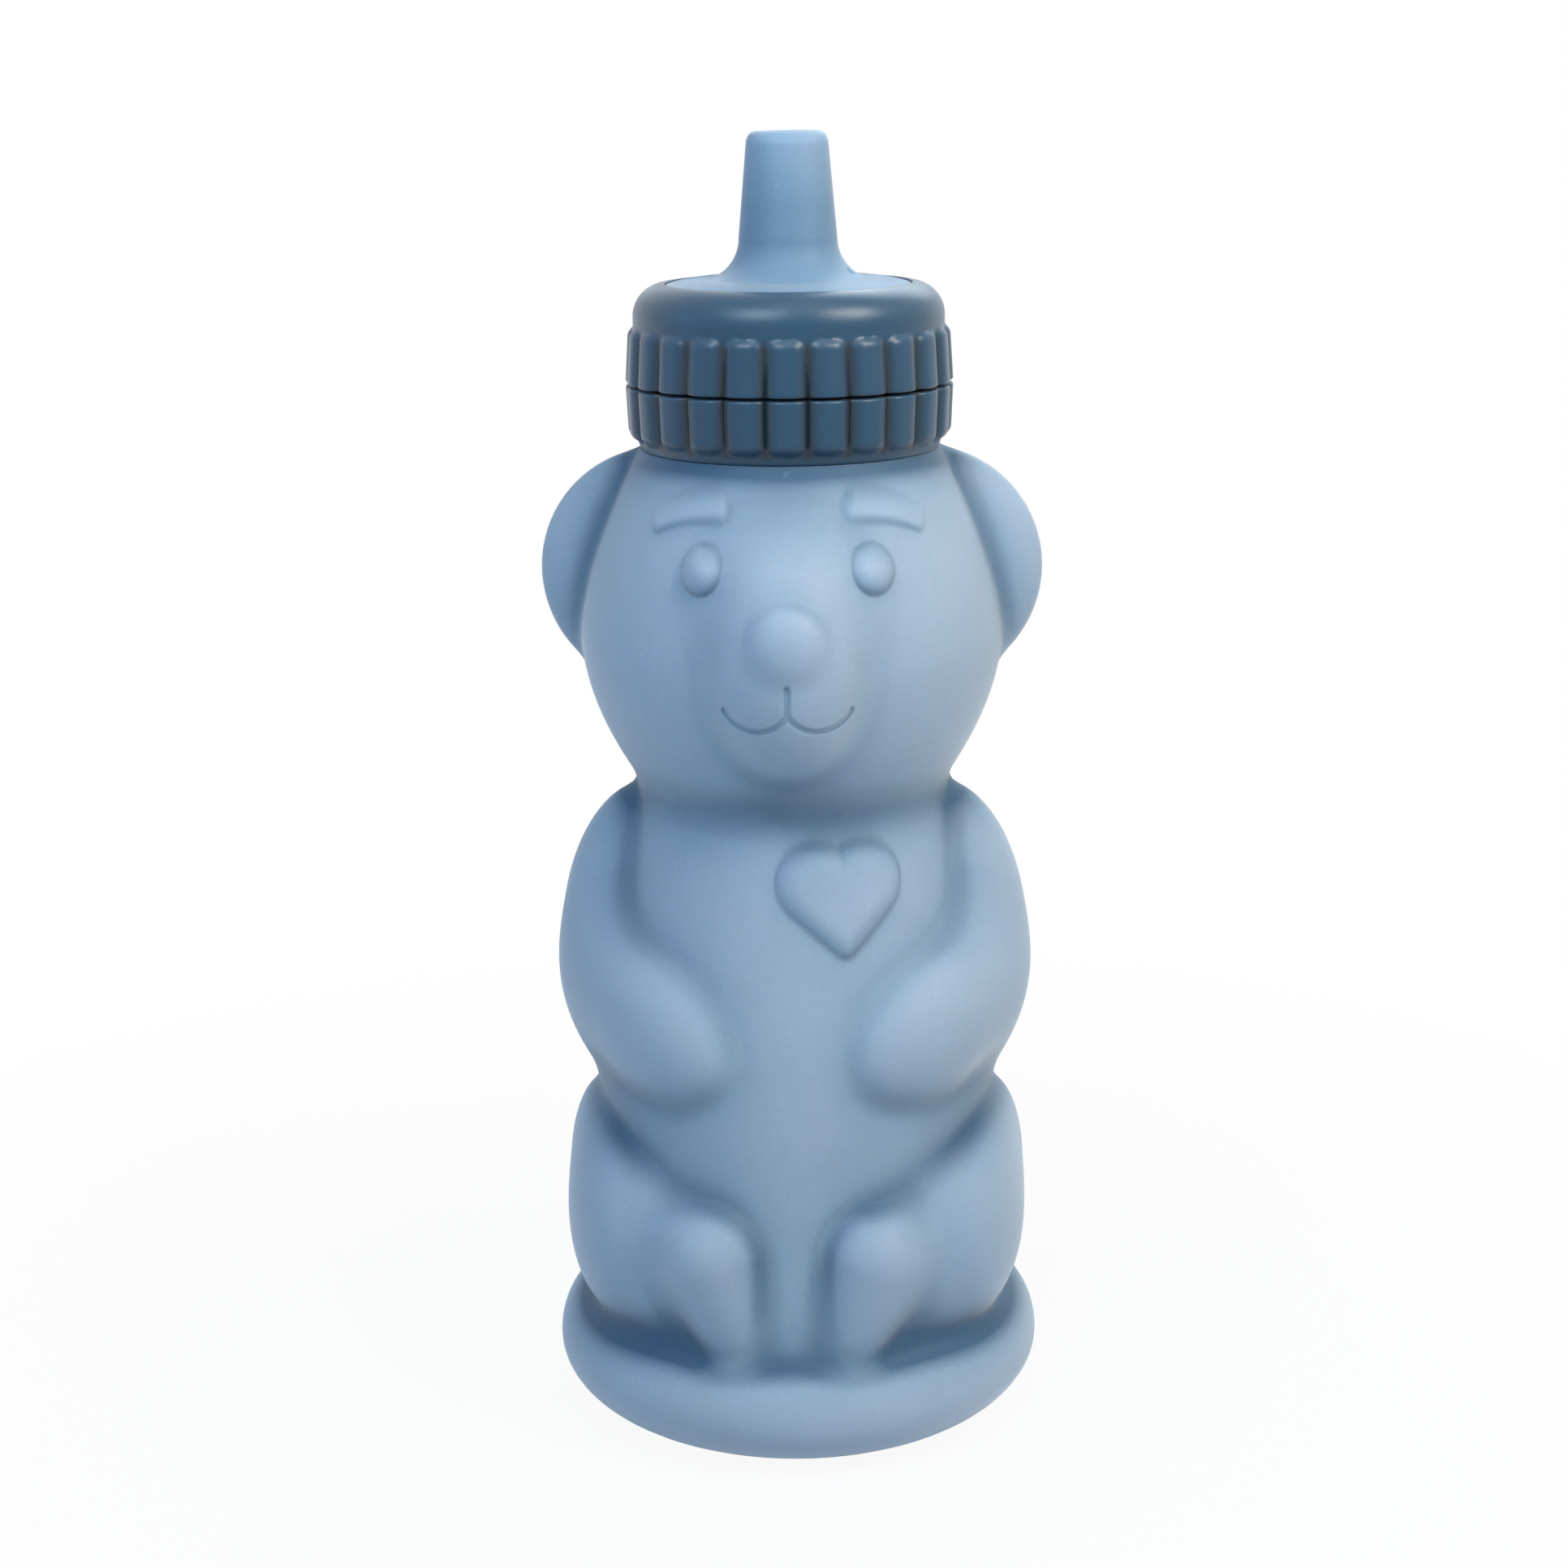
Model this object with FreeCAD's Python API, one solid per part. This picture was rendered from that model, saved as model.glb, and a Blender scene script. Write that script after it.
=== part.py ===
import FreeCAD, Part
import math
import os
from FreeCAD import Vector

# Squeeze bottle in the shape of a sitting bear. Millimetres, +Z up, the bear looks along -Y.
# The origin is the middle of the flat face that the bottle stands on.

# Round trunk of the bear, from the table up
BASE_RADIUS = 32.2
HEEL_REACH = 12.2
BASE_WIDEST_HEIGHT = 7.9
BASE_TOP_REACH = 5.4
BASE_TOP_RISE = 6.7
HIP_INSET = 4.8
HIP_HEIGHT = 17.5
BELLY_RADIUS = 26.2
BELLY_HEIGHT = 42.0
THROAT_RADIUS = 19.6
THROAT_HEIGHT = 85.1
HEAD_RADIUS = 26.8
HEAD_HEIGHT = 103.8
SEAT_RADIUS = 18.7
SEAT_HEIGHT = 127.6
BELLY_FULLNESS = 2.0
CHEEK_FULLNESS = 1.8
CROWN_FULLNESS = 1.7
WALL = 2.4
FLOOR_THICKNESS = 3.0

# Ears: upright discs beside the crown
EAR_RADIUS = 15.6
EAR_THICKNESS = 11.6
EAR_SINK = 9.1
EAR_SETBACK = 2.5
EAR_TOP_GAP = 0.3

# Arms: each egg has its angle from the front in degrees, its height, how far its middle lies
# below the trunk's surface, and how it leans
ARM_ANGLE = 87.0
ARM_HEIGHT = 62.5
ARM_SINK = 6.46
ARM_DEPTH = 12.3
ARM_WIDTH = 21.0
ARM_LENGTH = 44.1
FOREARM_ANGLE = 53.5
FOREARM_HEIGHT = 57.2
FOREARM_SINK = 5.2
FOREARM_DEPTH = 9.4
FOREARM_WIDTH = 32.4
FOREARM_LENGTH = 22.2
FOREARM_LEAN = 21.0

# Legs: a thigh at the side, a shin round to the front and an upright foot
THIGH_ANGLE = 80.0
THIGH_HEIGHT = 31.0
THIGH_SINK = 1.95
THIGH_DEPTH = 5.75
THIGH_WIDTH = 31.0
THIGH_LENGTH = 25.5
THIGH_LEAN = 12.0
SHIN_ANGLE = 52.0
SHIN_HEIGHT = 26.0
SHIN_SINK = 7.2
SHIN_DEPTH = 11.4
SHIN_WIDTH = 27.0
SHIN_LENGTH = 31.0
SHIN_LEAN = 20.0
FOOT_TOP_ANGLE = 24.0
FOOT_TOP_HEIGHT = 28.4
FOOT_TOP_SINK = 2.0
FOOT_TOP_RADIUS = 7.2
FOOT_BOTTOM_ANGLE = 16.5
FOOT_BOTTOM_HEIGHT = 15.6
FOOT_BOTTOM_INSET = 6.2
FOOT_BOTTOM_RADIUS = 5.2

# Face
MUZZLE_HEIGHT = 104.3
MUZZLE_SINK = 6.2
MUZZLE_DEPTH = 10.6
MUZZLE_WIDTH = 21.0
MUZZLE_LENGTH = 29.0
NOSE_HEIGHT = 107.4
NOSE_PROUD = 1.9
NOSE_DEPTH = 3.8
NOSE_WIDTH = 10.4
NOSE_LENGTH = 11.4
EYE_ANGLE = 24.4
EYE_HEIGHT = 115.9
EYE_RISE = 1.1
EYE_WIDTH = 6.4
EYE_LENGTH = 6.3
BROW_HEIGHT = 122.6
BROW_INNER = 8.4
BROW_OUTER = 17.4
BROW_DROP = 2.0
BROW_RISE = 0.5
BROW_THICKNESS = 4.0
BROW_END_THICKNESS = 3.2

# Raised heart on the chest, on the viewer's right
HEART_ANGLE = 16.5
HEART_TIP_HEIGHT = 66.5
HEART_LENGTH = 15.1
HEART_WIDTH = 16.8
HEART_ROUND = 1.4
HEART_RISE = 1.5
HEART_EDGE = 3.5

# How far each form melts into the one behind it
THROAT_MELT = 2.2
BASE_MELT = 3.5
EAR_MELT = 1.6
ARM_MELT = 6.0
LEG_MELT = 7.0
LIMB_MELT = 1.3
FOOT_MELT = 5.0
MUZZLE_MELT = 2.8
NOSE_MELT = 0.7

# The skin is one smooth surface over a net of points this far apart
SKIN_COLUMNS = 144
SKIN_ROW_STEP = 1.0
WALK_STEPS = 80
WALK_SHARE = 0.8
WALK_END = 0.005

# Neck of the bear with the bead that the closure holds
NECK_RADIUS = 17.3
NECK_WALL = 1.6
BEAD_RADIUS = 18.7
BEAD_THICKNESS = 2.2

# Lower ribbed ring
COLLAR_HEIGHT = 7.9
COLLAR_LIP = 1.6
COLLAR_CREST_BOTTOM = 20.15
COLLAR_RIM_HEIGHT = 1.4
SNAP_RISE = 0.45
SNAP_HEIGHT = 0.9

# Ribs of both rings
SEAM_CREST = 20.5
SEAM_GAP = 0.35
RIB_COUNT = 24
RIB_DEPTH = 1.0
RIB_END_ROUND = 1.2

# Threaded neck
INSERT_WALL = 2.2
INSERT_FLANGE = 1.8
SLEEVE_WALL = 1.4
SLEEVE_LENGTH = 4.8
THREAD_PITCH = 3.6
THREAD_DEPTH = 1.0
THREAD_ROOT_WIDTH = 1.8
THREAD_CREST_WIDTH = 0.9
INSERT_THREAD_TURNS = 1.25
RING_THREAD_TURNS = 1.0
THREAD_START = 3.0

# Upper ribbed ring with its rounded shoulder
RING_HEIGHT = 12.1
RING_CREST_TOP = 20.05
RING_RIB_LENGTH = 6.9
RING_WALL = 1.85
SHOULDER_RADIUS = 19.4
SHOULDER_ROUND = 4.0
RING_TOP_THICKNESS = 1.75

# Spout
FLANGE_THICKNESS = 1.5
SPOUT_DISC_RISE = 0.7
SPOUT_DISC_CROWN = 0.25
SPOUT_DISC_DROP = 0.2
SPOUT_FLARE_REACH = 3.6
SPOUT_FLARE_HEIGHT = 4.95
SPOUT_ROOT_RADIUS = 6.1
SPOUT_LENGTH = 12.8
SPOUT_TIP_WIDTH = 9.9
SPOUT_TIP_DEPTH = 8.4
SPOUT_TIP_ROUND = 0.6
SPOUT_WALL = 1.4
VENT_ANGLE = 74.0
VENT_RADIUS = 0.9

# Slit valve in the root of the spout
VALVE_RADIUS = 7.9
VALVE_RIM = 1.9
VALVE_RIM_WIDTH = 1.8
VALVE_SKIN = 0.7
VALVE_DISH = 0.8
VALVE_SLIT = 0.2
VALVE_SLIT_LENGTH = 6.0
SOCKET_LIP = 0.45
SOCKET_LIP_REACH = 0.4

# Clearances
NECK_CLEARANCE = 0.1
BEAD_CLEARANCE = 0.15
THREAD_CLEARANCE = 0.15
FLANGE_CLEARANCE = 0.25
HOLE_CLEARANCE = 0.2
VALVE_CLEARANCE = 0.1
EMBED = 0.3
TINY = 1e-9

AXIS = Vector(0, 0, 1)
ORIGIN = Vector(0, 0, 0)

# Heights and radii that follow from the sizes above
hip_radius = BASE_RADIUS - HIP_INSET
base_flat = BASE_RADIUS - HEEL_REACH
bowl_round = BASE_TOP_RISE - WALL / 4
bowl_centre = BASE_RADIUS - WALL - bowl_round
neck_bore = NECK_RADIUS - NECK_WALL
bead_bottom = SEAT_HEIGHT + COLLAR_LIP
bead_top = bead_bottom + BEAD_THICKNESS
collar_top = SEAT_HEIGHT + COLLAR_HEIGHT
collar_bore = BEAD_RADIUS + BEAD_CLEARANCE
ring_bottom = collar_top + SEAM_GAP
ring_top = ring_bottom + RING_HEIGHT
ring_ceiling = ring_top - RING_TOP_THICKNESS
ring_bore = SHOULDER_RADIUS - RING_WALL
ring_hole = SHOULDER_RADIUS - SHOULDER_ROUND
insert_top = ring_ceiling - FLANGE_THICKNESS
insert_flange_top = bead_top + INSERT_FLANGE
thread_crest = ring_bore - THREAD_CLEARANCE
thread_root = thread_crest - THREAD_DEPTH
sleeve_radius = neck_bore - NECK_CLEARANCE
insert_bore = min(sleeve_radius - SLEEVE_WALL, thread_root - INSERT_WALL)
thread_base = ring_bottom + THREAD_START
thread_slope = 0.5 * (THREAD_ROOT_WIDTH - THREAD_CREST_WIDTH) / THREAD_DEPTH
thread_offset = THREAD_ROOT_WIDTH - thread_slope * (THREAD_DEPTH + THREAD_CLEARANCE) + THREAD_CLEARANCE
plug_radius = ring_hole - HOLE_CLEARANCE
disc_edge = ring_top - SPOUT_DISC_DROP
flare_bottom = disc_edge + SPOUT_DISC_RISE
flare_top = flare_bottom + SPOUT_FLARE_HEIGHT
spout_tip = flare_top + SPOUT_LENGTH
socket_radius = VALVE_RADIUS + VALVE_CLEARANCE
valve_bottom = insert_top + SOCKET_LIP
valve_top = valve_bottom + VALVE_RIM


# Outline of the trunk

def bulge(height, middle, middle_radius, end, end_radius, fullness):
    share = abs(height - middle) / abs(end - middle)
    return end_radius + (middle_radius - end_radius) * (1 - share ** fullness)


def head_radius(height):
    if height >= HEAD_HEIGHT:
        return bulge(height, HEAD_HEIGHT, HEAD_RADIUS, SEAT_HEIGHT, SEAT_RADIUS, CROWN_FULLNESS)
    return bulge(height, HEAD_HEIGHT, HEAD_RADIUS, THROAT_HEIGHT, THROAT_RADIUS, CHEEK_FULLNESS)


def torso_radius(height):
    if height >= BELLY_HEIGHT:
        return bulge(height, BELLY_HEIGHT, BELLY_RADIUS, THROAT_HEIGHT, THROAT_RADIUS, BELLY_FULLNESS)
    return bulge(height, BELLY_HEIGHT, BELLY_RADIUS, HIP_HEIGHT, hip_radius, BELLY_FULLNESS)


def trunk_radius(height):
    if height >= THROAT_HEIGHT:
        return head_radius(height)
    return torso_radius(height)


# Gaps: how far a point lies outside a form, negative inside it

def round_gap(outline, reach, height):
    slope = outline(height + 0.5) - outline(height - 0.5)
    return (reach - outline(height)) / math.hypot(1, slope)


def base_gap(reach, height):
    out = max(reach - BASE_RADIUS + BASE_TOP_REACH, 0) / BASE_TOP_REACH
    up = (height - BASE_WIDEST_HEIGHT) / BASE_TOP_RISE
    size = math.hypot(out, up)
    slope = math.hypot(out / BASE_TOP_REACH, up / BASE_TOP_RISE)
    return size * (size - 1) / max(slope, TINY)


def egg_gap(point, egg):
    """An egg-shaped form whose first axis points away from the trunk."""
    x, y, z = point
    angle, reach, height, shift, lean, semi_axes = egg
    outward = x * math.sin(angle) - y * math.cos(angle) - reach
    sideways = x * math.cos(angle) + y * math.sin(angle) - shift
    up = z - height
    across = sideways * math.cos(lean) + up * math.sin(lean)
    along = up * math.cos(lean) - sideways * math.sin(lean)
    scaled = [v / s for v, s in zip((outward, across, along), semi_axes)]
    steep = [v / s for v, s in zip(scaled, semi_axes)]
    size = math.sqrt(sum(v * v for v in scaled))
    slope = math.sqrt(sum(v * v for v in steep))
    return size * (size - 1) / max(slope, TINY)


def foot_gap(point):
    """A round limb that tapers from the ball at the top of the foot to the one at its end."""
    direction = [e - s for s, e in zip(foot_top, foot_bottom)]
    offset = [p - s for s, p in zip(foot_top, point)]
    length = math.sqrt(sum(d * d for d in direction))
    taper = (FOOT_TOP_RADIUS - FOOT_BOTTOM_RADIUS) / length
    axial = sum(d * o for d, o in zip(direction, offset)) / length
    radial = math.sqrt(max(sum(o * o for o in offset) - axial * axial, 0))
    middle = axial - radial * taper / math.sqrt(1 - taper * taper)
    middle = min(max(middle, 0), length)
    return math.hypot(axial - middle, radial) - FOOT_TOP_RADIUS + taper * middle


def melt(first, second, amount):
    """The union of two forms with a soft valley between them."""
    overlap = max(amount - abs(first - second), 0.0) / amount
    return min(first, second) - 0.25 * amount * overlap * overlap


def heart_rise(x, y, height):
    """Height of the raised heart above the chest at this point."""
    angle = math.atan2(x, -y) - math.radians(HEART_ANGLE)
    unit = (HEART_LENGTH - (1 + math.sqrt(2)) * HEART_ROUND) / (0.75 + 0.25 * math.sqrt(2))
    plain_width = (0.5 + 0.5 * math.sqrt(2)) * unit + 2 * HEART_ROUND
    across = abs(angle) * math.hypot(x, y) * plain_width / (HEART_WIDTH * unit)
    up = (height - HEART_TIP_HEIGHT - math.sqrt(2) * HEART_ROUND) / unit
    if across + up > 1:
        edge = math.hypot(across - 0.25, up - 0.75) - 0.25 * math.sqrt(2)
    else:
        fold = 0.5 * max(across + up, 0)
        edge = min(math.hypot(across, up - 1), math.hypot(across - fold, up - fold))
        edge = math.copysign(edge, across - up)
    share = min(max((HEART_ROUND - edge * unit) / HEART_EDGE, 0.0), 1.0)
    return HEART_RISE * share * (2 - share)


def face_rise(x, y, height):
    """Height of the domed eyes and of the soft brows above the head."""
    reach = math.hypot(x, y)
    round_front = math.atan2(x, -y) * reach
    eye_across = (round_front - math.radians(EYE_ANGLE) * reach) / (EYE_WIDTH / 2)
    eye_up = (height - EYE_HEIGHT) / (EYE_LENGTH / 2)
    eye = EYE_RISE * max(1 - eye_across ** 2 - eye_up ** 2, 0)
    share = min(max((round_front - BROW_INNER) / (BROW_OUTER - BROW_INNER), 0), 1)
    brow_across = round_front - BROW_INNER - share * (BROW_OUTER - BROW_INNER)
    brow_up = height - BROW_HEIGHT + BROW_DROP * share * share
    half = (BROW_THICKNESS + share * (BROW_END_THICKNESS - BROW_THICKNESS)) / 2
    brow = BROW_RISE * max(1 - (brow_across ** 2 + brow_up ** 2) / half ** 2, 0) ** 2
    return max(eye, brow)


def place(angle, reach, height):
    turn = math.radians(angle)
    return (reach * math.sin(turn), -reach * math.cos(turn), height)


def egg(angle, height, sink, depth, width, length, lean=0.0, shift=0.0):
    """Seat of an egg-shaped form below the trunk's surface, with its three half sizes."""
    return (math.radians(angle), trunk_radius(height) - sink, height, shift, math.radians(lean),
            (depth, width / 2, length / 2))


ear_height = SEAT_HEIGHT - EAR_TOP_GAP - EAR_RADIUS
ear = egg(90, ear_height, EAR_SINK, EAR_RADIUS, EAR_THICKNESS, 2 * EAR_RADIUS, shift=EAR_SETBACK)
arm = egg(ARM_ANGLE, ARM_HEIGHT, ARM_SINK, ARM_DEPTH, ARM_WIDTH, ARM_LENGTH)
forearm = egg(FOREARM_ANGLE, FOREARM_HEIGHT, FOREARM_SINK, FOREARM_DEPTH, FOREARM_WIDTH,
              FOREARM_LENGTH, FOREARM_LEAN)
thigh = egg(THIGH_ANGLE, THIGH_HEIGHT, THIGH_SINK, THIGH_DEPTH, THIGH_WIDTH, THIGH_LENGTH, THIGH_LEAN)
shin = egg(SHIN_ANGLE, SHIN_HEIGHT, SHIN_SINK, SHIN_DEPTH, SHIN_WIDTH, SHIN_LENGTH, SHIN_LEAN)
muzzle = egg(0, MUZZLE_HEIGHT, MUZZLE_SINK, MUZZLE_DEPTH, MUZZLE_WIDTH, MUZZLE_LENGTH)
nose = egg(0, NOSE_HEIGHT, -NOSE_PROUD, NOSE_DEPTH, NOSE_WIDTH, NOSE_LENGTH)
foot_top = place(FOOT_TOP_ANGLE, trunk_radius(FOOT_TOP_HEIGHT) - FOOT_TOP_SINK, FOOT_TOP_HEIGHT)
foot_bottom = place(FOOT_BOTTOM_ANGLE, BASE_RADIUS - FOOT_BOTTOM_INSET, FOOT_BOTTOM_HEIGHT)


def bear_gap(x, y, z):
    """How far a point lies outside the bear. Both sides are alike, apart from the heart."""
    reach = math.hypot(x, y)
    point = (abs(x), y, z)
    gap = melt(round_gap(head_radius, reach, z), round_gap(torso_radius, reach, z), THROAT_MELT)
    if z > THROAT_HEIGHT:
        gap = melt(gap, egg_gap(point, ear), EAR_MELT)
        gap = melt(gap, egg_gap(point, muzzle), MUZZLE_MELT)
        gap = melt(gap, egg_gap(point, nose), NOSE_MELT)
        return gap - face_rise(*point)
    arms = melt(egg_gap(point, arm), egg_gap(point, forearm), ARM_MELT)
    legs = melt(egg_gap(point, thigh), egg_gap(point, shin), LEG_MELT)
    legs = melt(legs, foot_gap(point), FOOT_MELT)
    lower = melt(base_gap(reach, z), legs, BASE_MELT)
    gap = melt(gap, arms, LIMB_MELT)
    gap = melt(gap, lower, LIMB_MELT)
    return gap - heart_rise(x, y, z)


def skin_reach(angle, height):
    """Walk in from outside to the skin, square to the Z axis."""
    reach = 2 * BASE_RADIUS
    for _ in range(WALK_STEPS):
        gap = bear_gap(reach * math.cos(angle), reach * math.sin(angle), height)
        reach -= WALK_SHARE * gap
        if abs(gap) < WALK_END:
            break
    return reach


def bear_skin():
    """Smooth outer surface from the base's widest circle up to the closure's seat."""
    rows = round((SEAT_HEIGHT - BASE_WIDEST_HEIGHT) / SKIN_ROW_STEP) + 1
    step = 2 * math.pi / SKIN_COLUMNS
    # A smooth surface passes inside the points of its net by this share of their radius
    swell = 3 / (2 + math.cos(step))
    net = []
    for column in range(SKIN_COLUMNS):
        line = []
        for row in range(rows):
            height = BASE_WIDEST_HEIGHT + (SEAT_HEIGHT - BASE_WIDEST_HEIGHT) * row / (rows - 1)
            reach = skin_reach(column * step, height)
            if row == 0:
                reach = BASE_RADIUS
            if row == rows - 1:
                reach = SEAT_RADIUS
            reach *= swell
            line.append(Vector(reach * math.cos(column * step), reach * math.sin(column * step), height))
        net.append(line)
    round_knots = list(range(SKIN_COLUMNS + 1))
    tall_knots = list(range(rows - 2))
    surface = Part.BSplineSurface()
    surface.buildFromPolesMultsKnots(net, [1] * len(round_knots), [4] + [1] * (rows - 4) + [4],
                                     round_knots, tall_knots, True, False, 3, 3)
    return surface.toShape()


# Small helpers for turned pieces

def at(reach, height):
    return Vector(reach, 0, height)


def line(start, end):
    return Part.LineSegment(start, end).toShape()


def arc(start, middle, end):
    return Part.Arc(start, middle, end).toShape()


def corner_arc(centre, radius, start_degrees, end_degrees):
    points = []
    for share in (0, 0.5, 1):
        turn = math.radians(start_degrees + share * (end_degrees - start_degrees))
        points.append(centre + at(radius * math.cos(turn), radius * math.sin(turn)))
    return arc(*points)


def path(*points):
    return [line(a, b) for a, b in zip(points, points[1:])]


def turned(edges):
    """Solid of revolution about the Z axis, from the edges of a closed outline."""
    return Part.Face(Part.Wire(edges)).revolve(ORIGIN, AXIS, 360)


def turned_outline(*points):
    return turned(path(*points, points[0]))


def cavity_curve(outline, low, high, count):
    points = []
    for index in range(count):
        height = low + (high - low) * index / (count - 1)
        points.append(at(outline(height) - WALL, height))
    curve = Part.BSplineCurve()
    curve.interpolate(points)
    return curve.toShape()


def bear_body():
    """Hollow soft moulding: skin, base, neck bead and cavity sewn into one solid."""
    heel_middle = Vector(base_flat, 0, BASE_WIDEST_HEIGHT)
    ellipse = Part.Ellipse(heel_middle, HEEL_REACH, BASE_WIDEST_HEIGHT)
    upright = FreeCAD.Rotation(Vector(1, 0, 0), 90)
    ellipse.rotate(FreeCAD.Placement(heel_middle, upright, ORIGIN))
    heel = Part.ArcOfEllipse(ellipse, 1.5 * math.pi, 2 * math.pi).toShape()
    underside = [heel, line(at(base_flat, 0), ORIGIN)]

    floor = FLOOR_THICKNESS
    hollow_edge = bowl_centre + bowl_round
    waist = HIP_HEIGHT + WALL
    shoulder = SEAT_HEIGHT - SLEEVE_LENGTH
    round_centre = at(bowl_centre, BASE_WIDEST_HEIGHT)
    heel_centre = at(hollow_edge - (BASE_WIDEST_HEIGHT - floor), BASE_WIDEST_HEIGHT)
    top = path(at(SEAT_RADIUS, SEAT_HEIGHT), at(NECK_RADIUS, SEAT_HEIGHT), at(NECK_RADIUS, bead_bottom),
               at(BEAD_RADIUS, bead_bottom), at(BEAD_RADIUS, bead_top), at(neck_bore, bead_top),
               at(neck_bore, SEAT_HEIGHT - WALL), at(head_radius(shoulder) - WALL, shoulder))
    head = cavity_curve(head_radius, shoulder, THROAT_HEIGHT, 9)
    torso = cavity_curve(torso_radius, THROAT_HEIGHT, waist, 9)
    hip = path(at(torso_radius(waist) - WALL, waist), round_centre + at(0, bowl_round))
    bowl = [corner_arc(round_centre, bowl_round, 90, 0),
            corner_arc(heel_centre, BASE_WIDEST_HEIGHT - floor, 0, -90)]
    ground = path(heel_centre - at(0, BASE_WIDEST_HEIGHT - floor), at(0, floor))

    faces = [bear_skin()]
    for edges in (underside, top + [head, torso] + hip + bowl + ground):
        faces += Part.Wire(edges).revolve(ORIGIN, AXIS, 360).Faces
    shell = Part.makeCompound(faces)
    shell.sewShape()
    solid = Part.makeSolid(shell.Shells[0])
    if solid.Volume < 0:
        solid.reverse()
    return solid


# Closure

def rib_outline(crest, height):
    """Plan of a ribbed grip: convex ribs with a narrow groove between neighbours."""
    half = math.pi / RIB_COUNT
    edges = []
    for rib in range(RIB_COUNT):
        middle = 2 * half * rib
        points = []
        for turn, depth in ((middle - half, RIB_DEPTH), (middle, 0), (middle + half, RIB_DEPTH)):
            radius = crest - depth
            points.append(Vector(radius * math.cos(turn), radius * math.sin(turn), height))
        edges.append(arc(*points))
    return Part.Wire(edges)


def ribs(low, low_crest, high, high_crest):
    return Part.makeLoft([rib_outline(low_crest, low), rib_outline(high_crest, high)], True, True)


def thread(root_radius, depth, turns, height):
    """Thread ridge on a round wall. A negative depth points inwards."""
    inside = root_radius - math.copysign(EMBED, depth)
    slope = thread_slope * EMBED
    low = THREAD_ROOT_WIDTH / 2 + slope
    high = THREAD_CREST_WIDTH / 2
    crest = root_radius + depth
    section = Part.makePolygon([at(inside, -low), at(crest, -high), at(crest, high), at(inside, low),
                                at(inside, -low)])
    helix = Part.makeHelix(THREAD_PITCH, THREAD_PITCH * turns, root_radius)
    ridge = Part.Wire(helix).makePipeShell([section], True, True)
    ridge.translate(at(0, height))
    return ridge


def neck_collar():
    """Lower ribbed ring. Its lip holds the bead from below, its snap ridge holds the insert's flange."""
    rib_bottom = SEAT_HEIGHT + COLLAR_RIM_HEIGHT
    rim = COLLAR_CREST_BOTTOM - RIB_DEPTH
    grip = ribs(SEAT_HEIGHT, COLLAR_CREST_BOTTOM, collar_top, SEAM_CREST)
    reach = SEAM_CREST + EMBED
    envelope = turned([*path(at(0, rib_bottom), at(COLLAR_CREST_BOTTOM - RIB_END_ROUND, rib_bottom)),
                       corner_arc(at(COLLAR_CREST_BOTTOM - RIB_END_ROUND, rib_bottom + RIB_END_ROUND),
                                  RIB_END_ROUND, -90, 0),
                       *path(at(COLLAR_CREST_BOTTOM, rib_bottom + RIB_END_ROUND), at(reach, collar_top),
                             at(0, collar_top), at(0, rib_bottom))])
    core = turned_outline(at(0, SEAT_HEIGHT), at(SEAT_RADIUS, SEAT_HEIGHT), at(rim, rib_bottom),
                          at(SEAM_CREST - RIB_DEPTH, collar_top), at(0, collar_top))
    lip = NECK_RADIUS + NECK_CLEARANCE
    snap = insert_flange_top + NECK_CLEARANCE
    bore = turned_outline(at(0, SEAT_HEIGHT), at(lip, SEAT_HEIGHT), at(lip, bead_bottom),
                          at(collar_bore, bead_bottom), at(collar_bore, snap),
                          at(collar_bore - SNAP_RISE, snap + SNAP_HEIGHT / 2),
                          at(collar_bore, snap + SNAP_HEIGHT), at(collar_bore, collar_top),
                          at(0, collar_top))
    return core.fuse(grip.common(envelope)).cut(bore)


def neck_insert():
    """Rigid neck: sleeve inside the soft neck, flange over the bead, outside thread above."""
    flange = collar_bore - NECK_CLEARANCE
    tube = turned_outline(at(insert_bore, SEAT_HEIGHT - WALL), at(sleeve_radius, SEAT_HEIGHT - WALL),
                          at(sleeve_radius, bead_top), at(flange, bead_top), at(flange, insert_flange_top),
                          at(thread_root, insert_flange_top), at(thread_root, insert_top),
                          at(insert_bore, insert_top))
    return tube.fuse(thread(thread_root, THREAD_DEPTH, INSERT_THREAD_TURNS, thread_base))


def screw_ring():
    """Upper ribbed ring with its rounded shoulder, open top and inside thread."""
    rib_top = ring_bottom + RING_RIB_LENGTH
    end_centre = at(RING_CREST_TOP - RIB_END_ROUND, rib_top - RIB_END_ROUND)
    grip = ribs(ring_bottom, SEAM_CREST, rib_top, RING_CREST_TOP)
    envelope = turned([*path(at(0, ring_bottom), at(SEAM_CREST + EMBED, ring_bottom),
                             at(RING_CREST_TOP, rib_top - RIB_END_ROUND)),
                       corner_arc(end_centre, RIB_END_ROUND, 0, 90),
                       *path(end_centre + at(0, RIB_END_ROUND), at(0, rib_top), at(0, ring_bottom))])
    shoulder = at(ring_hole, ring_top - SHOULDER_ROUND)
    core = turned([*path(at(0, ring_bottom), at(SHOULDER_RADIUS, ring_bottom),
                         at(SHOULDER_RADIUS, ring_top - SHOULDER_ROUND)),
                   corner_arc(shoulder, SHOULDER_ROUND, 0, 90),
                   *path(at(ring_hole, ring_top), at(0, ring_top), at(0, ring_bottom))])
    bore = turned_outline(at(0, ring_bottom), at(ring_bore, ring_bottom), at(ring_bore, ring_ceiling),
                          at(ring_hole, ring_ceiling), at(ring_hole, ring_top + EMBED),
                          at(0, ring_top + EMBED))
    ring = core.fuse(grip.common(envelope)).cut(bore)
    return ring.fuse(thread(ring_bore, -THREAD_DEPTH, RING_THREAD_TURNS, thread_base - thread_offset))


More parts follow.
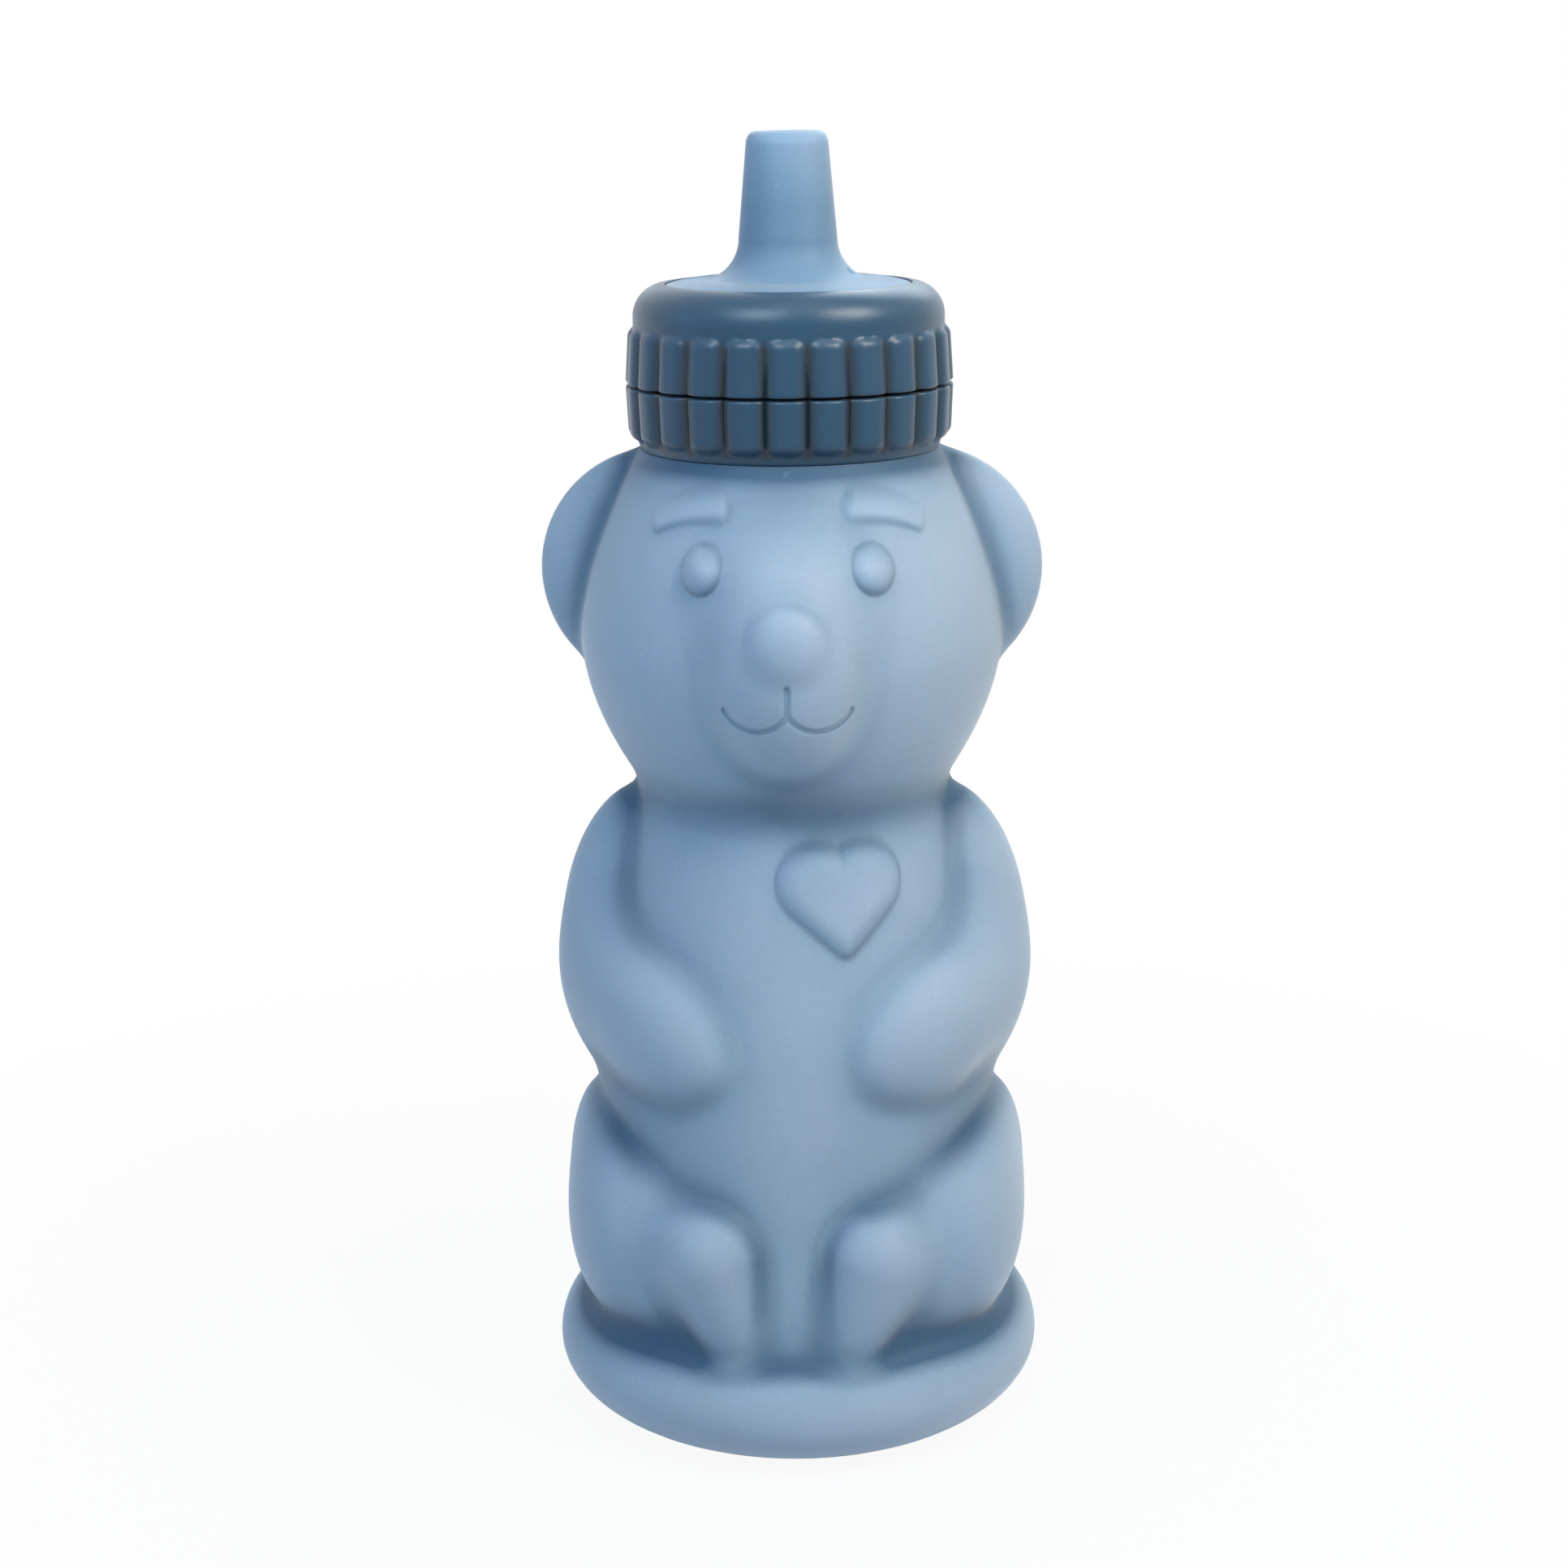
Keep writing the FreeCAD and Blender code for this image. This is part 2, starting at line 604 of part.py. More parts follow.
def oval(width, depth, height):
    if depth > width:
        ellipse = Part.Ellipse(Vector(0, depth / 2, height), Vector(width / 2, 0, height), at(0, height))
    else:
        ellipse = Part.Ellipse(Vector(width / 2, 0, height), Vector(0, depth / 2, height), at(0, height))
    return Part.Wire(ellipse.toShape())


def ring_wire(radius, height):
    return Part.Wire(Part.Circle(at(0, height), AXIS, radius).toShape())


def spout():
    """Soft spout: flange under the ring, crowned disc in the ring's hole, flared root, oval tip."""
    flare = SPOUT_FLARE_REACH
    flare_round = (flare ** 2 + SPOUT_FLARE_HEIGHT ** 2) / (2 * flare)
    flare_end = 180 + math.degrees(math.asin(SPOUT_FLARE_HEIGHT / flare_round))
    root_edge = SPOUT_ROOT_RADIUS + flare
    crown = at((plug_radius + root_edge) / 2, (disc_edge + flare_bottom) / 2 + SPOUT_DISC_CROWN)
    flange = ring_bore - FLANGE_CLEARANCE
    foot = turned([*path(at(0, insert_top), at(flange, insert_top), at(flange, ring_ceiling),
                         at(plug_radius, ring_ceiling), at(plug_radius, disc_edge)),
                   arc(at(plug_radius, disc_edge), crown, at(root_edge, flare_bottom)),
                   corner_arc(at(SPOUT_ROOT_RADIUS + flare_round, flare_top), flare_round, flare_end, 180),
                   *path(at(SPOUT_ROOT_RADIUS, flare_top), at(0, flare_top), at(0, insert_top))])
    tube = Part.makeLoft([ring_wire(SPOUT_ROOT_RADIUS, flare_top),
                          oval(SPOUT_TIP_WIDTH, SPOUT_TIP_DEPTH, spout_tip)], True, True)
    tip_edges = [e for e in tube.Edges if e.BoundBox.ZMin > spout_tip - EMBED]
    tube = tube.makeFillet(SPOUT_TIP_ROUND, tip_edges)
    bore_end = oval(SPOUT_TIP_WIDTH - 2 * SPOUT_WALL, SPOUT_TIP_DEPTH - 2 * SPOUT_WALL, spout_tip)
    bore = Part.makeLoft([ring_wire(SPOUT_ROOT_RADIUS - SPOUT_WALL, valve_top), bore_end], True, True)
    mouth = socket_radius - SOCKET_LIP_REACH
    socket = turned_outline(at(0, insert_top), at(mouth, insert_top), at(mouth, valve_bottom),
                            at(socket_radius, valve_bottom), at(socket_radius, valve_top), at(0, valve_top))
    turn = math.radians(VENT_ANGLE)
    vent_height = flare_bottom + SPOUT_FLARE_HEIGHT / 4
    vent_reach = SPOUT_ROOT_RADIUS + flare / 2 + VENT_RADIUS / 2
    vent_middle = Vector(vent_reach * math.sin(turn), -vent_reach * math.cos(turn), vent_height)
    vent = Part.makeSphere(VENT_RADIUS, vent_middle)
    return foot.fuse(tube).cut(bore).cut(socket).cut(vent)


def drip_valve():
    """Soft disc with a thick rim and a dished middle that is slit crosswise."""
    inner = VALVE_RADIUS - VALVE_RIM_WIDTH
    middle = (valve_bottom + valve_top) / 2
    low = middle - VALVE_SKIN / 2
    high = middle + VALVE_SKIN / 2
    dish = arc(at(0, high - VALVE_DISH), at(inner / 2, high - 0.75 * VALVE_DISH), at(inner, high))
    under = arc(at(inner, low), at(inner / 2, low - 0.75 * VALVE_DISH), at(0, low - VALVE_DISH))
    disc = turned([dish, *path(at(inner, high), at(inner, valve_top), at(VALVE_RADIUS, valve_top),
                               at(VALVE_RADIUS, valve_bottom), at(inner, valve_bottom), at(inner, low)),
                   under, line(at(0, low - VALVE_DISH), at(0, high - VALVE_DISH))])
    for turn in (0, 90):
        slit = Part.makeBox(VALVE_SLIT_LENGTH, VALVE_SLIT, 2 * VALVE_RIM,
                            Vector(-VALVE_SLIT_LENGTH / 2, -VALVE_SLIT / 2, middle - VALVE_RIM))
        slit.rotate(ORIGIN, AXIS, turn)
        disc = disc.cut(slit)
    return disc


os.makedirs("parts", exist_ok=True)
for piece in (bear_body, neck_collar, neck_insert, screw_ring, spout, drip_valve):
    shape = piece()
    print(piece.__name__, shape.isValid(), len(shape.Solids), round(shape.Volume, 1))
    shape.exportStep("parts/" + piece.__name__ + ".step")
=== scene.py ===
import math

import bpy
import numpy as np
from mathutils import Matrix, Vector


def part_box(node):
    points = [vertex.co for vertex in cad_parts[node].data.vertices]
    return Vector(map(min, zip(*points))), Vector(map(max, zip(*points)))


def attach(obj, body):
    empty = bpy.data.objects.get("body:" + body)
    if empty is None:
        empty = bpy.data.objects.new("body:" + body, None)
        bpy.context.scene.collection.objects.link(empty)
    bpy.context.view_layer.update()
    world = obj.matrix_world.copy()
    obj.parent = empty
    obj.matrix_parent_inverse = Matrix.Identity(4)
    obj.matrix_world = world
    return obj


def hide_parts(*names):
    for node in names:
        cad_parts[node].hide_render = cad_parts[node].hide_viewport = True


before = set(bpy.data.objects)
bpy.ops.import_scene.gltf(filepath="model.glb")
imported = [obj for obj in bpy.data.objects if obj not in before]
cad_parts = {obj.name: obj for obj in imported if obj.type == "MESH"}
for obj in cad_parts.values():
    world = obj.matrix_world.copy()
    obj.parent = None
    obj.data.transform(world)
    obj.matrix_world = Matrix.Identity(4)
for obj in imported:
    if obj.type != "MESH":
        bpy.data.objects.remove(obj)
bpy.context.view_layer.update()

# Squeeze bottle in the shape of a sitting bear. Sizes are in millimetres unless a name says
# otherwise, and MM turns them into the metres of the frame. The bear looks along -Y.
MM = 0.001


def low_and_high(node):
    """Lowest and highest point of a solid of the frame, in millimetres."""
    low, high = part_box(node)
    return low.z / MM, high.z / MM


def widest(node):
    """Largest reach of a round solid from the bottle's axis, in millimetres."""
    low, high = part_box(node)
    return max(high.x, -low.x) / MM


# Heights that the frame gives
seat_height, collar_top = low_and_high("neck_collar")
ring_bottom, ring_top = low_and_high("screw_ring")
insert_top, spout_tip = low_and_high("spout")
valve_bottom, valve_top = low_and_high("drip_valve")
bead_top = low_and_high("bear_body")[1]
base_radius = widest("bear_body")
seam_crest = widest("screw_ring")
flange_radius = widest("spout")

# Round trunk of the bear
HEEL_REACH = 12.2
BASE_WIDEST_HEIGHT = 7.9
BASE_TOP_REACH, BASE_TOP_RISE = 5.4, 6.7
HIP_INSET = 4.8
HIP_HEIGHT = 17.5
BELLY_RADIUS = 26.2
BELLY_HEIGHT = 42.0
THROAT_RADIUS = 19.6
THROAT_HEIGHT = 85.1
HEAD_RADIUS = 26.8
HEAD_HEIGHT = 103.8
SEAT_RADIUS = 18.7
BELLY_FULLNESS = 2.0
CHEEK_FULLNESS = 1.8
CROWN_FULLNESS = 1.7
WALL = 2.4
FLOOR_THICKNESS = 3.0
hip_radius = base_radius - HIP_INSET
base_flat = base_radius - HEEL_REACH

# Egg-shaped forms: angle from the front and height of the middle, how far the middle lies below
# the trunk's surface, then depth, width and length, and how the form leans, in degrees
EAR_RADIUS, EAR_THICKNESS, EAR_SINK, EAR_SETBACK, EAR_TOP_GAP = 15.6, 11.6, 9.1, 2.5, 0.3
ARM = dict(angle=87.0, height=62.5, sink=6.46, depth=12.3, width=21.0, length=44.1)
FOREARM = dict(angle=53.5, height=57.2, sink=5.2, depth=9.4, width=32.4, length=22.2, lean=21.0)
THIGH = dict(angle=80.0, height=31.0, sink=1.95, depth=5.75, width=31.0, length=25.5, lean=12.0)
SHIN = dict(angle=52.0, height=26.0, sink=7.2, depth=11.4, width=27.0, length=31.0, lean=20.0)
MUZZLE = dict(angle=0.0, height=104.3, sink=6.2, depth=10.6, width=21.0, length=29.0)
NOSE = dict(angle=0.0, height=107.4, sink=-1.9, depth=3.8, width=10.4, length=11.4)

# Feet: a ball at the top and a smaller one at the bottom
FOOT_TOP_ANGLE, FOOT_TOP_HEIGHT, FOOT_TOP_SINK, FOOT_TOP_RADIUS = 24.0, 28.4, 2.0, 7.2
FOOT_BOTTOM_ANGLE, FOOT_BOTTOM_HEIGHT, FOOT_BOTTOM_INSET, FOOT_BOTTOM_RADIUS = 16.5, 16.4, 8.4, 5.2

# Relief on the head and chest
EYE_ANGLE, EYE_HEIGHT, EYE_RISE, EYE_WIDTH, EYE_LENGTH = 24.4, 115.9, 1.1, 6.4, 6.3
BROW_HEIGHT, BROW_INNER, BROW_OUTER, BROW_DROP = 122.6, 8.4, 17.4, 2.0
BROW_RISE, BROW_THICKNESS, BROW_END_THICKNESS, BROW_TOP_SPREAD = 0.5, 4.4, 3.4, 1.5
HEART_ANGLE, HEART_TIP_HEIGHT, HEART_LENGTH, HEART_WIDTH = 16.5, 66.5, 15.1, 16.8
HEART_ROUND, HEART_RISE, HEART_EDGE = 1.6, 1.3, 3.2

# Mouth: a groove down from the nose that forks into two arcs
MOUTH_TOP, MOUTH_FORK = 103.2, 99.9
MOUTH_ARC_RADIUS, MOUTH_ARC_SIDE, MOUTH_ARC_HEIGHT = 4.3, 3.8, 101.9
MOUTH_ARC_START, MOUTH_ARC_SWEEP = -27.8, -123.0
MOUTH_WIDTH, MOUTH_DEPTH = 0.8, 0.3

# How far each form melts into the one behind it. The muzzle melts more towards the bridge of the nose.
THROAT_MELT, BASE_MELT, EAR_MELT, ARM_MELT, LEG_MELT = 2.2, 2.4, 1.6, 6.0, 7.0
LIMB_MELT, FOOT_MELT, MUZZLE_MELT, BRIDGE_MELT, NOSE_MELT = 1.3, 3.2, 1.6, 6.0, 0.7
BRIDGE_LOW, BRIDGE_HIGH = 105.0, 116.0

# Closure
NECK_RADIUS, NECK_WALL, BEAD_RADIUS, COLLAR_LIP = 17.3, 1.6, 18.7, 1.6
SLEEVE_LENGTH = 4.8
NECK_CLEARANCE, BEAD_CLEARANCE, HOLE_CLEARANCE = 0.1, 0.15, 0.2
RIB_COUNT, RIB_DEPTH, RIB_FLATNESS, RIB_END_ROUND, RIB_COLUMNS = 24, 1.0, 3.0, 1.2, 24
COLLAR_CREST_BOTTOM, COLLAR_RIM_HEIGHT = 20.15, 1.4
RING_CREST_TOP, RING_RIB_LENGTH, RING_WALL = 20.05, 6.9, 1.85
SHOULDER_RADIUS, SHOULDER_ROUND, RING_TOP_THICKNESS = 19.4, 4.0, 1.75
EDGE_ROUND, HOLE_ROUND = 0.3, 0.12
THREAD_PITCH, THREAD_DEPTH, THREAD_ROOT_WIDTH, THREAD_CREST_WIDTH = 3.6, 1.0, 1.8, 0.9
RING_THREAD_START, RING_THREAD_TURNS = 1.2, 1.0
ring_bore = SHOULDER_RADIUS - RING_WALL
ring_hole = SHOULDER_RADIUS - SHOULDER_ROUND
ring_ceiling = ring_top - RING_TOP_THICKNESS
collar_bore = BEAD_RADIUS + BEAD_CLEARANCE

# Spout
PLUG_DROP, DISC_RISE, DISC_CROWN = 0.2, 0.7, 0.25
FLARE_REACH, FLARE_HEIGHT, ROOT_RADIUS = 3.6, 4.95, 6.1
TIP_WIDTH, TIP_DEPTH, TIP_ROUND, SPOUT_WALL = 9.9, 8.4, 1.1, 1.4
VALVE_SOCKET, SOCKET_MOUTH = 8.0, 7.6
VENT_ANGLE, VENT_RADIUS, VENT_DEPTH = 74.0, 0.9, 0.45
# Painted light on the spout: the tube's painted shade, and the length below the tip over which it fades out
# so the tip is painted lighter
TIP_PAINTED_LIGHT_LENGTH, TUBE_PAINTED_SHADE = 9.0, 0.12
disc_edge = ring_top - PLUG_DROP
flare_bottom = disc_edge + DISC_RISE
flare_top = flare_bottom + FLARE_HEIGHT


# Outline of the trunk

def bulge(height, middle, middle_radius, end, end_radius, fullness):
    share = np.abs(height - middle) / abs(end - middle)
    return end_radius + (middle_radius - end_radius) * (1 - share ** fullness)


def head_radius(height):
    crown = bulge(height, HEAD_HEIGHT, HEAD_RADIUS, seat_height, SEAT_RADIUS, CROWN_FULLNESS)
    cheek = bulge(height, HEAD_HEIGHT, HEAD_RADIUS, THROAT_HEIGHT, THROAT_RADIUS, CHEEK_FULLNESS)
    return np.where(height >= HEAD_HEIGHT, crown, cheek)


def torso_radius(height):
    chest = bulge(height, BELLY_HEIGHT, BELLY_RADIUS, THROAT_HEIGHT, THROAT_RADIUS, BELLY_FULLNESS)
    hips = bulge(height, BELLY_HEIGHT, BELLY_RADIUS, HIP_HEIGHT, hip_radius, BELLY_FULLNESS)
    return np.where(height >= BELLY_HEIGHT, chest, hips)


def trunk_radius(height):
    return np.where(height >= THROAT_HEIGHT, head_radius(height), torso_radius(height))


# Gaps: how far each point lies outside a form, negative inside it

SLOPE_STEP, TINY = 0.5, 1e-9
WALK_START, WALK_COUNT, WALK_SHARE = 1.5, 70, 0.75


def round_gap(outline, reach, height):
    slope = (outline(height + SLOPE_STEP) - outline(height - SLOPE_STEP)) / (2 * SLOPE_STEP)
    return (reach - outline(height)) / np.hypot(1, slope)


def base_gap(reach, height):
    out = np.maximum(reach - base_radius + BASE_TOP_REACH, 0) / BASE_TOP_REACH
    up = (height - BASE_WIDEST_HEIGHT) / BASE_TOP_RISE
    size = np.hypot(out, up)
    return size * (size - 1) / np.maximum(np.hypot(out / BASE_TOP_REACH, up / BASE_TOP_RISE), TINY)


def egg_gap(x, y, z, angle, height, sink, depth, width, length, lean=0.0, shift=0.0):
    """An egg-shaped form whose first axis points away from the trunk."""
    turn, tip = math.radians(angle), math.radians(lean)
    outward = x * math.sin(turn) - y * math.cos(turn) - (trunk_radius(height) - sink)
    sideways = x * math.cos(turn) + y * math.sin(turn) - shift
    up = z - height
    across = sideways * math.cos(tip) + up * math.sin(tip)
    along = up * math.cos(tip) - sideways * math.sin(tip)
    axes = (depth, width / 2, length / 2)
    scaled = [v / s for v, s in zip((outward, across, along), axes)]
    size = np.sqrt(sum(v * v for v in scaled))
    slope = np.sqrt(sum((v / s) ** 2 for v, s in zip(scaled, axes)))
    return size * (size - 1) / np.maximum(slope, TINY)


def ball(angle, reach, height):
    turn = math.radians(angle)
    return np.array([reach * math.sin(turn), -reach * math.cos(turn), height])


def foot_gap(x, y, z):
    """A round limb that tapers from the ball at the top of the foot to the one at its end."""
    top = ball(FOOT_TOP_ANGLE, trunk_radius(FOOT_TOP_HEIGHT) - FOOT_TOP_SINK, FOOT_TOP_HEIGHT)
    bottom = ball(FOOT_BOTTOM_ANGLE, base_radius - FOOT_BOTTOM_INSET, FOOT_BOTTOM_HEIGHT)
    length = np.linalg.norm(bottom - top)
    way = (bottom - top) / length
    offset = [p - t for p, t in zip((x, y, z), top)]
    axial = sum(o * w for o, w in zip(offset, way))
    radial = np.sqrt(np.maximum(sum(o * o for o in offset) - axial * axial, 0))
    taper = (FOOT_TOP_RADIUS - FOOT_BOTTOM_RADIUS) / length
    middle = np.clip(axial - radial * taper / math.sqrt(1 - taper * taper), 0, length)
    return np.hypot(axial - middle, radial) - FOOT_TOP_RADIUS + taper * middle


def melt(first, second, amount):
    """The union of two forms with a soft valley between them."""
    overlap = np.maximum(amount - np.abs(first - second), 0) / amount
    return np.minimum(first, second) - 0.25 * amount * overlap * overlap


def heart_rise(x, y, z):
    """Height of the raised heart above the chest."""
    angle = np.arctan2(x, -y) - math.radians(HEART_ANGLE)
    unit = (HEART_LENGTH - (1 + math.sqrt(2)) * HEART_ROUND) / (0.75 + 0.25 * math.sqrt(2))
    plain_width = (0.5 + 0.5 * math.sqrt(2)) * unit + 2 * HEART_ROUND
    across = np.abs(angle) * np.hypot(x, y) * plain_width / (HEART_WIDTH * unit)
    up = (z - HEART_TIP_HEIGHT - math.sqrt(2) * HEART_ROUND) / unit
    lobe = np.hypot(across - 0.25, up - 0.75) - 0.25 * math.sqrt(2)
    fold = 0.5 * np.maximum(across + up, 0)
    point = np.minimum(np.hypot(across, up - 1), np.hypot(across - fold, up - fold))
    edge = np.where(across + up > 1, lobe, np.copysign(point, across - up))
    share = np.clip((HEART_ROUND - edge * unit) / HEART_EDGE, 0, 1)
    return HEART_RISE * share * (2 - share)


def face_rise(x, y, z):
    """Height of the domed eyes and of the soft brows above the head."""
    reach = np.hypot(x, y)
    round_front = np.arctan2(x, -y) * reach
    eye_across = (round_front - math.radians(EYE_ANGLE) * reach) / (EYE_WIDTH / 2)
    eye_up = (z - EYE_HEIGHT) / (EYE_LENGTH / 2)
    eye = EYE_RISE * np.maximum(1 - eye_across ** 2 - eye_up ** 2, 0)
    share = np.clip((round_front - BROW_INNER) / (BROW_OUTER - BROW_INNER), 0, 1)
    brow_across = round_front - BROW_INNER - share * (BROW_OUTER - BROW_INNER)
    brow_up = z - BROW_HEIGHT + BROW_DROP * share * share
    brow_up = np.where(brow_up > 0, brow_up / BROW_TOP_SPREAD, brow_up)
    half = (BROW_THICKNESS + share * (BROW_END_THICKNESS - BROW_THICKNESS)) / 2
    brow = BROW_RISE * np.maximum(1 - (brow_across ** 2 + brow_up ** 2) / half ** 2, 0) ** 2
    return np.maximum(eye, brow)


def mouth_cut(x, y, z):
    """Depth of the mouth's groove below the muzzle, for points on the right half."""
    stem = np.hypot(x, z - np.clip(z, MOUTH_FORK, MOUTH_TOP))
    side, up = x - MOUTH_ARC_SIDE, z - MOUTH_ARC_HEIGHT
    start = math.radians(-180 - MOUTH_ARC_START)
    end = start - math.radians(MOUTH_ARC_SWEEP)
    turn = np.clip(np.arctan2(up, side), start, end)
    arc = np.hypot(side - MOUTH_ARC_RADIUS * np.cos(turn), up - MOUTH_ARC_RADIUS * np.sin(turn))
    share = np.minimum(stem, arc) / (MOUTH_WIDTH / 2)
    return np.where(y < 0, MOUTH_DEPTH * np.maximum(1 - share * share, 0), 0)


def bear_gap(x, y, z):
    """How far each point lies outside the bear. Both sides are alike, apart from the heart."""
    reach = np.hypot(x, y)
    side = np.abs(x)
    ear_height = seat_height - EAR_TOP_GAP - EAR_RADIUS
    gap = melt(round_gap(head_radius, reach, z), round_gap(torso_radius, reach, z), THROAT_MELT)
    head = melt(gap, egg_gap(side, y, z, 90, ear_height, EAR_SINK, EAR_RADIUS, EAR_THICKNESS,
                             2 * EAR_RADIUS, shift=EAR_SETBACK), EAR_MELT)
    muzzle_melt = np.interp(z, (BRIDGE_LOW, BRIDGE_HIGH), (MUZZLE_MELT, BRIDGE_MELT))
    head = melt(head, egg_gap(side, y, z, **MUZZLE), muzzle_melt)
    head = melt(head, egg_gap(side, y, z, **NOSE), NOSE_MELT)
    head = head - face_rise(side, y, z) + mouth_cut(side, y, z)
    arms = melt(egg_gap(side, y, z, **ARM), egg_gap(side, y, z, **FOREARM), ARM_MELT)
    legs = melt(egg_gap(side, y, z, **THIGH), egg_gap(side, y, z, **SHIN), LEG_MELT)
    legs = melt(legs, foot_gap(side, y, z), FOOT_MELT)
    lower = melt(base_gap(reach, z), legs, BASE_MELT)
    body = melt(melt(gap, arms, LIMB_MELT), lower, LIMB_MELT) - heart_rise(x, y, z)
    return np.where(z > THROAT_HEIGHT, head, body)


def skin_reach(bearing, height):
    """Walk in from outside to the skin, square to the bottle's axis."""
    reach = np.full(np.broadcast(bearing, height).shape, WALK_START * base_radius)
    for _ in range(WALK_COUNT):
        gap = bear_gap(reach * np.sin(bearing), -reach * np.cos(bearing), height)
        reach = reach - WALK_SHARE * gap
    return reach


# Meshes are grids of rows. Each row runs once round the bottle, and neighbouring rows are joined.

def ring_row(bearings, reach, height):
    """One row at this reach and height. Either may change along the row."""
    reach = np.broadcast_to(reach, bearings.shape)
    height = np.broadcast_to(height, bearings.shape)
    return np.stack([reach * np.sin(bearings), -reach * np.cos(bearings), height], axis=1)


def arc_points(centre, radius, start, end, count):
    """Points (reach, height) along an arc, with angles in degrees from straight outward."""
    turns = np.radians(np.linspace(start, end, count))
    return [(centre[0] + radius * math.cos(t), centre[1] + radius * math.sin(t)) for t in turns]


def grid_faces(rows, columns, first, loop):
    """Quads between neighbouring rows, and back to the first row if the grid is a loop."""
    row = np.arange(rows if loop else rows - 1)[:, None]
    column = np.arange(columns)[None, :]
    after = (row + 1) % rows
    beside = (column + 1) % columns
    here, there = row * columns, after * columns
    corners = (here + column, here + beside, there + beside, there + column)
    return np.stack([np.broadcast_to(c, (len(row), columns)) for c in corners], -1).reshape(-1, 4) + first


def piece_from_rows(name, grids, node, body, material, sharp_degrees, shade=None):
    """One object from grids of rows, which stands for a solid of the frame. A grid that isn't a loop is
    closed at its ends by fans to the middle of its first and last row. A shade gives each point the
    amount of painted shade that its material turns into a darker colour."""
    points, faces, first = [], [], 0
    for rows, loop in grids:
        columns = len(rows[0])
        points += list(rows)
        faces += grid_faces(len(rows), columns, first, loop).tolist()
        count = len(rows) * columns
        if not loop:
            points += [rows[0].mean(axis=0, keepdims=True), rows[-1].mean(axis=0, keepdims=True)]
            for column in range(columns):
                beside = (column + 1) % columns
                faces.append([first + beside, first + column, first + count])
                last = first + count - columns
                faces.append([last + column, last + beside, first + count + 1])
            count += 2
        first += count
    points = np.concatenate(points)
    mesh = bpy.data.meshes.new(name)
    mesh.from_pydata((points * MM).tolist(), [], faces)
    mesh.validate()
    mesh.shade_smooth()
    mesh.set_sharp_from_angle(angle=math.radians(sharp_degrees))
    if shade is not None:
        # Each point gets its painted shade value, which the material turns into a darker colour
        normals = np.empty(len(mesh.vertices) * 3, np.float32)
        mesh.vertex_normals.foreach_get("vector", normals)
        attribute = mesh.attributes.new("painted_shade", "FLOAT", "POINT")
        attribute.data.foreach_set("value", shade(points, normals.reshape(-1, 3)).astype(np.float32))
    mesh.materials.append(material)
    piece = bpy.data.objects.new(name, mesh)
    bpy.context.scene.collection.objects.link(piece)
    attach(piece, body)
    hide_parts(node)


# Materials

# Most values of a noise pattern lie between these
NOISE_SPAN = {"From Min": 0.3, "From Max": 0.7}
# Specks show only where the noise is near its top
SPECK_SPAN = {"From Min": 0.745, "From Max": 0.765}
# Painted shade reaches the middle colour and the deep colour at these values
HALF_SHADE_AT, FULL_SHADE_AT = 0.12, 0.38
DUST = "#c3d0dc"


def paint(code):
    """Linear colour from an sRGB hex value."""
    parts = [int(code[i:i + 2], 16) / 255 for i in (1, 3, 5)]
    return (*[c / 12.92 if c <= 0.04045 else ((c + 0.055) / 1.055) ** 2.4 for c in parts], 1.0)


def per_size(millimetres):
    """Scale of a pattern whose marks are this many millimetres apart."""
    return 1 / (millimetres * MM)


def add(tree, kind, settings=None, links=None):
    """Adds a node, sets its sockets or properties by name, and links other sockets into it."""
    node = tree.nodes.new(kind)
    for name, value in (settings or {}).items():
        if name in node.inputs:
            node.inputs[name].default_value = value
        else:
            setattr(node, name, value)
    for name, source in (links or {}).items():
        tree.links.new(source, node.inputs[name])
    return node


def new_material(name):
    material = bpy.data.materials.new(name)
    material.use_nodes = True
    tree = material.node_tree
    tree.nodes.clear()
    return material, tree


